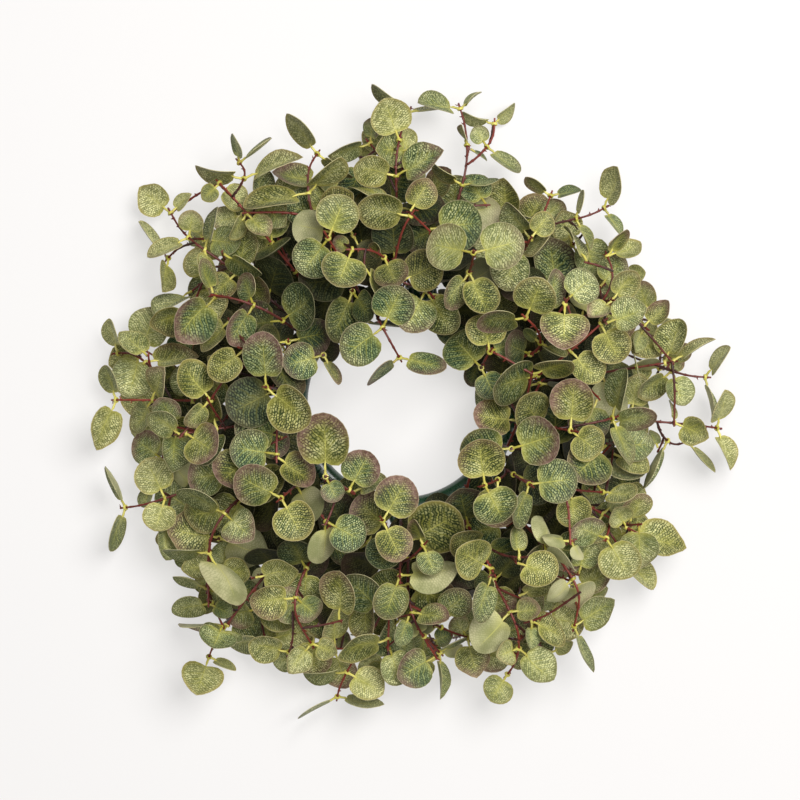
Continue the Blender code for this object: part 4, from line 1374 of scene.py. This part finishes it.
class Graph:
    """A material's nodes, added and joined by short calls."""

    def __init__(self, name):
        self.material = bpy.data.materials.new(name)
        self.material.use_nodes = True
        self.tree = self.material.node_tree
        self.shader = self.tree.nodes["Principled BSDF"]

    def node(self, kind, sockets=(), **settings):
        """A node with its settings, and with what is put into its sockets."""
        made = self.tree.nodes.new(kind)
        for key, value in settings.items():
            setattr(made, key, value)
        for key, value in dict(sockets).items():
            self.put(made.inputs[key], value)
        return made

    def put(self, socket, value):
        """Links another node's socket to this one, or sets its constant value."""
        if isinstance(value, bpy.types.NodeSocket):
            self.tree.links.new(value, socket)
        else:
            socket.default_value = value

    def math(self, operation, *values):
        return self.node("ShaderNodeMath", enumerate(values), operation=operation).outputs[0]

    def ramp(self, value, low, high, start=0.0, end=1.0):
        """A smooth step from start to end while the value goes from low to high."""
        made = self.node(
            "ShaderNodeMapRange",
            {"Value": value, "From Min": low, "From Max": high, "To Min": start, "To Max": end},
            interpolation_type="SMOOTHSTEP",
        )
        return made.outputs["Result"]

    def mix(self, share, first, second):
        """The first colour with a share of the second."""
        made = self.node("ShaderNodeMix", data_type="RGBA", clamp_factor=True)
        self.put(made.inputs["Factor"], share)
        self.put([s for s in made.inputs if s.name == "A" and s.type == "RGBA"][0], first)
        self.put([s for s in made.inputs if s.name == "B" and s.type == "RGBA"][0], second)
        return [s for s in made.outputs if s.type == "RGBA"][0]

    def attribute(self, name):
        return self.node("ShaderNodeAttribute", attribute_name=name).outputs["Fac"]

    def noise(self, scale, detail=3.0):
        """Soft cloudy noise in the object's own space."""
        where = self.node("ShaderNodeTexCoord").outputs["Object"]
        made = self.node("ShaderNodeTexNoise", {"Vector": where, "Scale": scale, "Detail": detail})
        return made.outputs["Fac"]

    def bump(self, height, distance, strength=1.0):
        made = self.node("ShaderNodeBump", {"Height": height, "Distance": distance, "Strength": strength})
        self.put(self.shader.inputs["Normal"], made.outputs["Normal"])

    def finish(self, colour, roughness):
        self.put(self.shader.inputs["Base Color"], colour)
        self.put(self.shader.inputs["Roughness"], roughness)
        return self.material


# The print: how steeply the side veins leave the rib, the rows of flecks and the flecks of a row for half a
# leaf, how far both wander, and how far each row is shifted against the last
VEIN_SLOPE = math.radians(46)
FLECK_ROWS = 10.8
FLECKS_ALONG = 7.6
ROWS_WANDER = 2.8
FLECKS_WANDER = 3.2
ROW_SHIFT = 0.62


class LeafCloth(Graph):
    """Printed cloth. The upper face is bluish green in the middle and yellow-green at the foot and the rim,
    with rows of small pale flecks along the side veins, a fine rib, a mauve or pale margin and a thin pale
    line round the edge that is a painted highlight; the lower face is a plain sage green with faint veins. p
    and q are the place on the leaf from -1 to 1, along it from the stalk and across it."""

    def __init__(self):
        super().__init__("leaf_cloth")
        flat = self.node("ShaderNodeUVMap", uv_map="leaf").outputs["UV"]
        place = self.node("ShaderNodeSeparateXYZ", {0: flat}).outputs
        self.p = self.math("MULTIPLY_ADD", place[0], 2.0, -1.0)
        self.q = self.math("MULTIPLY_ADD", place[1], 2.0, -1.0)
        self.side = self.math("ABSOLUTE", self.q)
        self.edge, self.under, self.tint, self.blush, self.pale = map(self.attribute, Surface.KEYS)
        self.lit = self.math("MAXIMUM", self.pale, 0.0)
        self.cloud = self.noise(48.0)
        self.fine = self.noise(330.0, 4.0)
        self.ragged = self.math("MULTIPLY_ADD", self.cloud, 0.30, self.edge)
        self.near_rib = self.math("MULTIPLY", self.ramp(self.side, 0.0, 0.42, 1.0, 0.0),
                                  self.ramp(self.p, -0.4, 0.9, 1.0, 0.05))
        self.rib = self.math("MULTIPLY", self.ramp(self.side, 0.006, 0.034, 1.0, 0.0),
                             self.ramp(self.p, 0.0, 0.9, 0.6, 0.0))
        self.foot = self.ramp(self.math("MULTIPLY_ADD", self.side, 0.45, self.p), -0.15, -1.0)
        self.rows, self.dash, self.chance = self.flecks()
        self.flush = self.mauve()

    def own(self, factor, span, least):
        """A value of the leaf's own, made from its tint: a share of the span above the least."""
        share = self.math("FRACT", self.math("MULTIPLY", self.tint, factor))
        return self.math("MULTIPLY_ADD", share, span, least)

    def flecks(self):
        """Bowed rows of cells along the side veins: the running count of rows, the fleck in the middle of
        each cell, and a random value for each cell."""
        forward, outward = math.cos(VEIN_SLOPE), math.sin(VEIN_SLOPE)
        lengthwise = self.math("ADD", self.math("MULTIPLY", self.p, forward),
                               self.math("MULTIPLY", self.side, outward))
        crosswise = self.math("SUBTRACT", self.math("MULTIPLY", self.side, forward),
                              self.math("MULTIPLY", self.p, outward))
        bowed = self.math("MULTIPLY_ADD", self.math("MULTIPLY", self.side, self.side), -0.22, crosswise)
        drift = self.math("MULTIPLY_ADD", self.noise(120.0), ROWS_WANDER, self.tint)
        rows = self.math("ADD", self.math("MULTIPLY", bowed, FLECK_ROWS), drift)
        row = self.math("FLOOR", rows)
        sway = self.math("MULTIPLY", self.noise(170.0), FLECKS_WANDER)
        along = self.math("ADD", self.math("MULTIPLY", lengthwise, FLECKS_ALONG), sway)
        along = self.math("MULTIPLY_ADD", row, ROW_SHIFT, along)
        rest = [self.math("MULTIPLY_ADD", self.math("FRACT", way), 2.0, -1.0) for way in (along, rows)]
        squares = [self.math("MULTIPLY", way, way) for way in rest]
        inward = self.math("SUBTRACT", 1.0, self.math("SQRT", self.math("ADD", *squares)))
        larger = self.math("MULTIPLY_ADD", self.near_rib, 0.20, self.math("MULTIPLY", self.lit, 0.20))
        dash = self.ramp(self.math("ADD", inward, larger), 0.08, 0.52)
        half_row = self.math("MULTIPLY", row, self.math("SIGN", self.q))
        cell = {0: self.math("FLOOR", along), 1: half_row, 2: self.math("MULTIPLY", self.tint, 91.0)}
        spot = self.node("ShaderNodeCombineXYZ", cell).outputs[0]
        chance = self.node("ShaderNodeTexWhiteNoise", {"Vector": spot}, noise_dimensions="3D")
        return rows, dash, chance.outputs["Value"]

    def mauve(self):
        """How mauve the cloth is: towards the tip and one side, and most at the edge."""
        lean = self.math("MULTIPLY_ADD", self.tint, 1.6, -0.8)
        beyond = self.ramp(self.math("MULTIPLY_ADD", self.q, lean, self.p), -0.7, 0.6, 0.0, 1.0)
        outer = self.ramp(self.math("MULTIPLY_ADD", self.cloud, 0.5, self.edge), 0.62, 1.22)
        return self.math("MULTIPLY", self.math("MULTIPLY", self.blush, beyond), outer)

    def ground(self):
        """The colour between the flecks, with faint veins."""
        colour = self.mix(self.ramp(self.tint, 0.15, 0.85), GROUND_BLUE, GROUND_GREEN)
        colour = self.mix(self.ramp(self.cloud, 0.42, 0.75, 0.0, 0.6), colour, GROUND_LIGHT)
        colour = self.mix(self.math("MULTIPLY", self.lit, 0.60), colour, GROUND_PALE)
        rim = self.mix(self.ramp(self.tint, 0.25, 0.75), RIM_GREEN, RIM_PALE)
        colour = self.mix(self.ramp(self.ragged, 0.92, 1.22, 0.0, 0.70), colour, rim)
        colour = self.mix(self.math("MULTIPLY", self.flush, 0.75), colour, MAUVE_DARK)
        saw = self.math("FRACT", self.math("MULTIPLY", self.rows, 0.4))
        ray = self.math("ABSOLUTE", self.math("MULTIPLY_ADD", saw, 2.0, -1.0))
        fade = self.ramp(self.edge, 0.25, 0.95, 0.55, 0.10)
        return self.mix(self.math("MULTIPLY", self.ramp(ray, 0.62, 0.95), fade), colour, FOOT_DULL)

    def print_strength(self):
        """How strongly the flecks are printed: by cell and by leaf, patchy, and fading at the rim."""
        reach = self.ramp(self.ragged, 0.96, 1.20, 1.0, 0.15)
        by_cell = self.math("MULTIPLY", self.math("MULTIPLY", self.dash, reach),
                            self.ramp(self.chance, 0.0, 0.8, 0.30, 1.0))
        palest = self.ramp(self.lit, 0.75, 1.0, 0.0, 0.85)
        by_leaf = self.math("MAXIMUM", self.own(13.7, 0.48, 0.52), palest)
        patchy = self.math("MULTIPLY", by_leaf, self.ramp(self.cloud, 0.3, 0.6, 0.7, 1.0))
        return self.math("MULTIPLY", by_cell, patchy)

    def upper(self):
        """The printed face, with a painted highlight as a thin pale line round its edge."""
        fleck = self.mix(self.ramp(self.tint, 0.15, 0.85), FLECK_BLUE, FLECK_GREEN)
        brighter = self.ramp(self.math("MULTIPLY_ADD", self.lit, 0.4, self.cloud), 0.34, 0.84, 0.0, 0.8)
        colour = self.mix(self.print_strength(), self.ground(), self.mix(brighter, fleck, FLECK_BRIGHT))
        purple = self.mix(self.ramp(self.fine, 0.3, 0.7), MAUVE_DARK, MAUVE_LIGHT)
        colour = self.mix(self.math("MULTIPLY", self.flush, 0.64), colour, purple)
        yellow = self.math("MAXIMUM", self.near_rib, self.foot)
        colour = self.mix(self.math("MULTIPLY", yellow, self.own(7.3, 0.42, 0.14)), colour, FOOT_DULL)
        light = self.mix(self.ramp(self.fine, 0.3, 0.7), FOOT_DULL, FOOT_BRIGHT)
        near_foot = self.math("MULTIPLY", self.ramp(self.p, -0.55, -1.05), 0.6)
        colour = self.mix(self.math("MAXIMUM", self.rib, near_foot), colour, light)
        # Painted highlight: a thin pale line round the leaf's edge
        return self.mix(self.ramp(self.edge, 0.970, 1.0, 0.0, 0.45), colour, EDGE_HIGHLIGHT)

    def lower(self):
        """The plain face."""
        colour = self.mix(self.ramp(self.cloud, 0.3, 0.7), SAGE_DARK, SAGE_LIGHT)
        between = self.math("MULTIPLY", self.math("SUBTRACT", 1.0, self.dash), 0.40)
        colour = self.mix(between, colour, SAGE_VEIN)
        colour = self.mix(self.math("MULTIPLY", self.near_rib, 0.30), colour, FOOT_DULL)
        rib, foot = self.math("MULTIPLY", self.rib, 0.8), self.math("MULTIPLY", self.foot, 0.4)
        colour = self.mix(self.math("MAXIMUM", rib, foot), colour, FOOT_BRIGHT)
        return self.mix(self.math("MULTIPLY", self.flush, 0.35), colour, MAUVE_LIGHT)

    def cloth(self):
        """The material: both faces, darker deep in the crowd through painted shade, with slightly raised
        flecks and rib.
        """
        colour = self.mix(self.under, self.upper(), self.lower())
        # Painted shade: a leaf whose pale is below nought is darkened towards the shade colour
        colour = self.mix(self.ramp(self.pale, -1.0, 0.0, 0.80, 0.0), colour, PAINTED_SHADE)
        self.bump(self.math("ADD", self.math("MULTIPLY", self.dash, 0.5), self.rib), 0.0002, 0.5)
        self.shader.inputs["Specular IOR Level"].default_value = 0.20
        return self.finish(colour, self.ramp(self.fine, 0.3, 0.7, 0.52, 0.68))


def stalk_plastic():
    """Yellow-green moulded plastic, browner in places."""
    g = Graph("stalk_plastic")
    cloud = g.noise(140.0)
    colour = g.mix(g.ramp(g.attribute("tint"), 0.0, 1.0), STALK_DULL, STALK_BRIGHT)
    colour = g.mix(g.ramp(cloud, 0.52, 0.78, 0.0, 0.55), colour, STALK_BROWN)
    g.bump(g.noise(900.0, 2.0), 0.0001, 0.4)
    return g.finish(colour, g.ramp(cloud, 0.3, 0.7, 0.38, 0.52))


def stem_plastic():
    """Dark red-brown moulded plastic, redder towards the tip and scuffed."""
    g = Graph("stem_plastic")
    edge, tint = g.attribute("edge"), g.attribute("tint")
    cloud = g.noise(120.0)
    fine = g.noise(700.0, 3.0)
    colour = g.mix(g.ramp(g.math("MULTIPLY_ADD", cloud, 0.6, edge), 0.3, 1.3), BARK_DARK, BARK_RED)
    colour = g.mix(g.math("MULTIPLY", g.ramp(tint, 0.55, 1.0), 0.5), colour, BARK_BRIGHT)
    colour = g.mix(g.ramp(fine, 0.55, 0.80, 0.0, 0.45), colour, BARK_SCUFF)
    g.bump(fine, 0.00025, 0.6)
    return g.finish(colour, g.ramp(fine, 0.3, 0.7, 0.36, 0.52))


def ring_plastic():
    """Glossy dark green plastic with a faint flow of colour and fine scratches."""
    g = Graph("ring_plastic")
    cloud = g.noise(38.0)
    fine = g.noise(420.0, 5.0)
    colour = g.mix(g.ramp(cloud, 0.3, 0.7), RING_DARK, RING_GREEN)
    colour = g.mix(g.ramp(fine, 0.62, 0.80, 0.0, 0.3), colour, RING_SCUFF)
    g.bump(fine, 0.00012, 0.35)
    g.shader.inputs["Coat Weight"].default_value = 0.25
    g.shader.inputs["Coat Roughness"].default_value = 0.12
    return g.finish(colour, g.ramp(fine, 0.3, 0.7, 0.24, 0.38))


def floor_paper():
    """A matt, nearly white surface with the faintest mottle. Its glow is painted light: it keeps its shadows
    faint and lights the wreath a little from below.
    """
    g = Graph("floor_paper")
    colour = g.mix(g.noise(3.0), PAPER_DARK, PAPER_LIGHT)
    g.shader.inputs["Specular IOR Level"].default_value = 0.1
    g.shader.inputs["Emission Color"].default_value = WARM_WHITE
    g.shader.inputs["Emission Strength"].default_value = PAPER_GLOW
    return g.finish(colour, 0.9)


# The pixels of leaves whose look stands out in the picture, and how near to one a leaf's middle has to be
PICTURED_LOOKS = {
    "mauve": [(322, 438), (255, 440), (362, 475), (300, 470), (193, 325), (200, 443), (225, 470), (500, 420),
              (545, 443), (575, 402), (250, 325), (355, 270), (455, 520), (262, 355)],
    "dark": [(305, 365), (480, 535), (345, 185), (478, 176), (480, 195), (250, 432), (340, 540)],
    "olive": [(150, 197), (392, 120), (425, 150), (150, 475), (157, 520), (233, 195), (618, 187), (633, 245),
              (725, 405), (727, 450), (102, 430), (202, 672)],
    "pale": [(448, 245), (503, 247)],
}
LOOK_REACH = 11

# The shade painted on leaves deep in the crowd: the height at which it begins and how much higher that
# is over the ring's inner slope, at which distance and how far round it; how far down it is full; and how
# soon it ends past the rim and the hole
SHADE_TOP = 0.062
SLOPE_MORE, SLOPE_AT, SLOPE_REACH = 0.010, 0.098, 0.024
SHADE_FADE = 0.034
RIM_FROM, HOLE_FROM, EDGE_FADE = 0.160, 0.082, 0.022


# The chances of a leaf's shape: how deep its notch is, how high its lobes are and how they are turned, its
# cup, its fold and its bend
SHAPE_CHANCES = ((0.10, 0.24), (0.0, 0.018), (0, 6.28), (0.01, 0.085), (-0.02, 0.12), (-0.13, 0.06))

# The mauve leaves: their share near the hole, and how much smaller it is further out
MAUVE_OFTEN = 0.42
MAUVE_LESS = 0.35


def pictured_look(leaf):
    """The look that the picture shows close to the leaf's middle, if any."""
    middle = leaf.eyelet + (leaf.stalk + leaf.length / 2) * leaf.along
    scale = picture_scale(middle[2])
    seen = np.array([CENTRE_U + middle[0] / scale, CENTRE_V - middle[1] / scale])
    for look, spots in PICTURED_LOOKS.items():
        if np.linalg.norm(np.array(spots) - seen, axis=1).min() < LOOK_REACH:
            return look
    return None


def shade_depth(leaf):
    """How deep a leaf lies in the painted shade, from 0 at its top to 1 where it is full."""
    base = float(np.linalg.norm(leaf.eyelet[:2]))
    tip = float(np.linalg.norm((leaf.eyelet + (leaf.stalk + leaf.length) * leaf.along)[:2]))
    top = SHADE_TOP + SLOPE_MORE * max(0.0, 1 - abs(base - SLOPE_AT) / SLOPE_REACH)
    beyond = max(0.0, max(base, tip) - RIM_FROM, HOLE_FROM - min(base, tip))
    return (top - leaf.eyelet[2]) / SHADE_FADE - beyond / EDGE_FADE


def leaf_looks(leaves, draw):
    """For each leaf its shape numbers, its tint, and how much mauve or pale colour it has: leaves near
    the hole are mauve more often, leaves near the rim paler, and pale is less than nought where shade is
    painted on a leaf deep in the crowd."""
    rows = []
    for leaf in leaves:
        out = float(np.linalg.norm(leaf.eyelet[:2]))
        shape = [draw.uniform(*limits) for limits in SHAPE_CHANCES]
        often = MAUVE_OFTEN - MAUVE_LESS * max(0.0, out - CROWN_END) / CROWN_END
        blush = draw.uniform(0.40, 1.0) if draw.random() < often else draw.uniform(0.0, 0.25)
        outer = min(1.0, max(0.0, (out - CROWN_END) / 0.10))
        pale = outer * draw.uniform(0.1, 0.8) + draw.uniform(0.0, 0.25)
        tint = draw.random()
        depth = shade_depth(leaf)
        extra_shade = draw.uniform(0.0, 0.4)
        # Painted shade: deep in the crowd pale goes below nought, which darkens the leaf's colour
        if depth > 0:
            pale = -min(1.0, depth + extra_shade)
        look = pictured_look(leaf)
        if look == "mauve":
            blush, pale = 1.0, min(pale, 0.25)
        elif look == "dark":
            tint, pale, blush = 0.3 * tint, 0.0, 0.5 * blush
        elif look == "olive":
            tint, pale, blush = 0.7 + 0.3 * tint, max(pale, 0.75), 0.1
        elif look == "pale":
            tint, pale, blush = 0.4 * tint, 0.8, 0.3
        rows.append(shape + [tint, blush, min(pale, 1.0)])
    table = np.array(rows).reshape(-1, 9)
    return {"shape": table[:, :6], "tint": table[:, 6], "blush": table[:, 7], "pale": table[:, 8]}


def dress_spray(name, stems, leaves, draw):
    """The two pieces of a spray: its leaves with their stalks and eyelets, and its bare stems."""
    foliage = Surface()
    looks = leaf_looks(leaves, draw)
    if leaves:
        leaf_shapes(leaves, looks, foliage)
    for leaf, tint in zip(leaves, looks["tint"]):
        stalk_shape(leaf, foliage, tint)
    worn = {tuple(leaf.eyelet) for leaf in leaves}
    wood = Surface()
    for path, start, seats in stems:
        for spot, stem, _ in seats:
            if tuple(spot) in worn:
                eyelet_shape(spot, stem, foliage, draw.random())
        stem_shape(path, wood, draw, start is not None)
    pieces = [wood.build(name + "_stems", [STEM], 60)]
    if leaves:
        pieces.append(foliage.build(name + "_leaves", [LEAF, STALK_FINISH], 50))
    for piece in pieces:
        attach(piece, "root")
    return pieces


# The studio: half the floor's side, the light from all round, and each lamp's name, kind, place, size and
# power
FLOOR_HALF = 4.0
WORLD_STRENGTH = 0.24
LAMP_WHITE = (1.0, 0.985, 0.97)
LAMPS = (
    ("key", "AREA", (0.74, 0.64, 1.9), 1.3, 56.0),
    ("fill", "SUN", (-0.12, -0.08, 2.3), 0.5, 0.74),
)
SENSOR = 36


def make_stage(centre):
    """The floor, the lights and the camera that looks straight down."""
    mesh = bpy.data.meshes.new("floor")
    signs = ((-1, -1), (1, -1), (1, 1), (-1, 1))
    mesh.from_pydata([(x * FLOOR_HALF, y * FLOOR_HALF, 0) for x, y in signs], [], [(0, 1, 2, 3)])
    mesh.materials.append(floor_paper())
    floor = bpy.data.objects.new("floor", mesh)
    bpy.context.scene.collection.objects.link(floor)
    world = bpy.data.worlds.new("studio")
    world.use_nodes = True
    light = world.node_tree.nodes["Background"]
    light.inputs["Color"].default_value = WARM_WHITE
    light.inputs["Strength"].default_value = WORLD_STRENGTH
    bpy.context.scene.world = world
    for name, kind, place, size, power in LAMPS:
        lamp = bpy.data.lights.new(name, kind)
        if kind == "AREA":
            lamp.size = size
        else:
            lamp.angle = size
        lamp.energy = power
        lamp.color = LAMP_WHITE
        made = bpy.data.objects.new(name, lamp)
        made.location = place
        direction = -np.array(place)
        made.rotation_euler = (math.atan2(math.hypot(direction[0], direction[1]), -direction[2]), 0,
                               math.atan2(direction[1], direction[0]) - math.pi / 2)
        bpy.context.scene.collection.objects.link(made)
    camera = bpy.data.cameras.new("camera")
    camera.sensor_width = SENSOR
    camera.lens = SENSOR * (EYE - PICTURE_LEVEL) / (PICTURE_SIDE * PIXEL)
    camera.shift_x = (PICTURE_SIDE / 2 - CENTRE_U) / PICTURE_SIDE
    camera.shift_y = (CENTRE_V - PICTURE_SIDE / 2) / PICTURE_SIDE
    camera.clip_start = 0.05
    eye = bpy.data.objects.new("camera", camera)
    eye.location = (centre[0], centre[1], EYE)
    bpy.context.scene.collection.objects.link(eye)
    bpy.context.scene.camera = eye
    bpy.context.scene.view_settings.view_transform = "Standard"


ring_low, ring_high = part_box("ring")
SHIFT = np.array([(ring_low.x + ring_high.x) / 2, (ring_low.y + ring_high.y) / 2, 0.0])
LEAF = LeafCloth().cloth()
STALK_FINISH = stalk_plastic()
STEM = stem_plastic()
grown, crowd, shown = grow()
filled = grow_fill(random.Random(FILL_SEED), grown, crowd, shown)
look_draw = random.Random(FILL_SEED)
feet = []
for number, (stems, leaves) in enumerate(filled):
    name = f"spray_{number + 1:02d}"
    if number < len(grown):
        for piece in dress_spray(name, stems, leaves, look_draw):
            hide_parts(name)
    else:
        dress_spray("low_" + name, stems, leaves, look_draw)
    feet += [(path[0], start) for path, start, _ in stems if start is not None]
tube_surface = Surface()
ring_shape(tube_surface, feet)
ring = tube_surface.build("ring_tube", [ring_plastic()], 40)
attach(ring, "root")
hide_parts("ring")
make_stage(SHIFT)
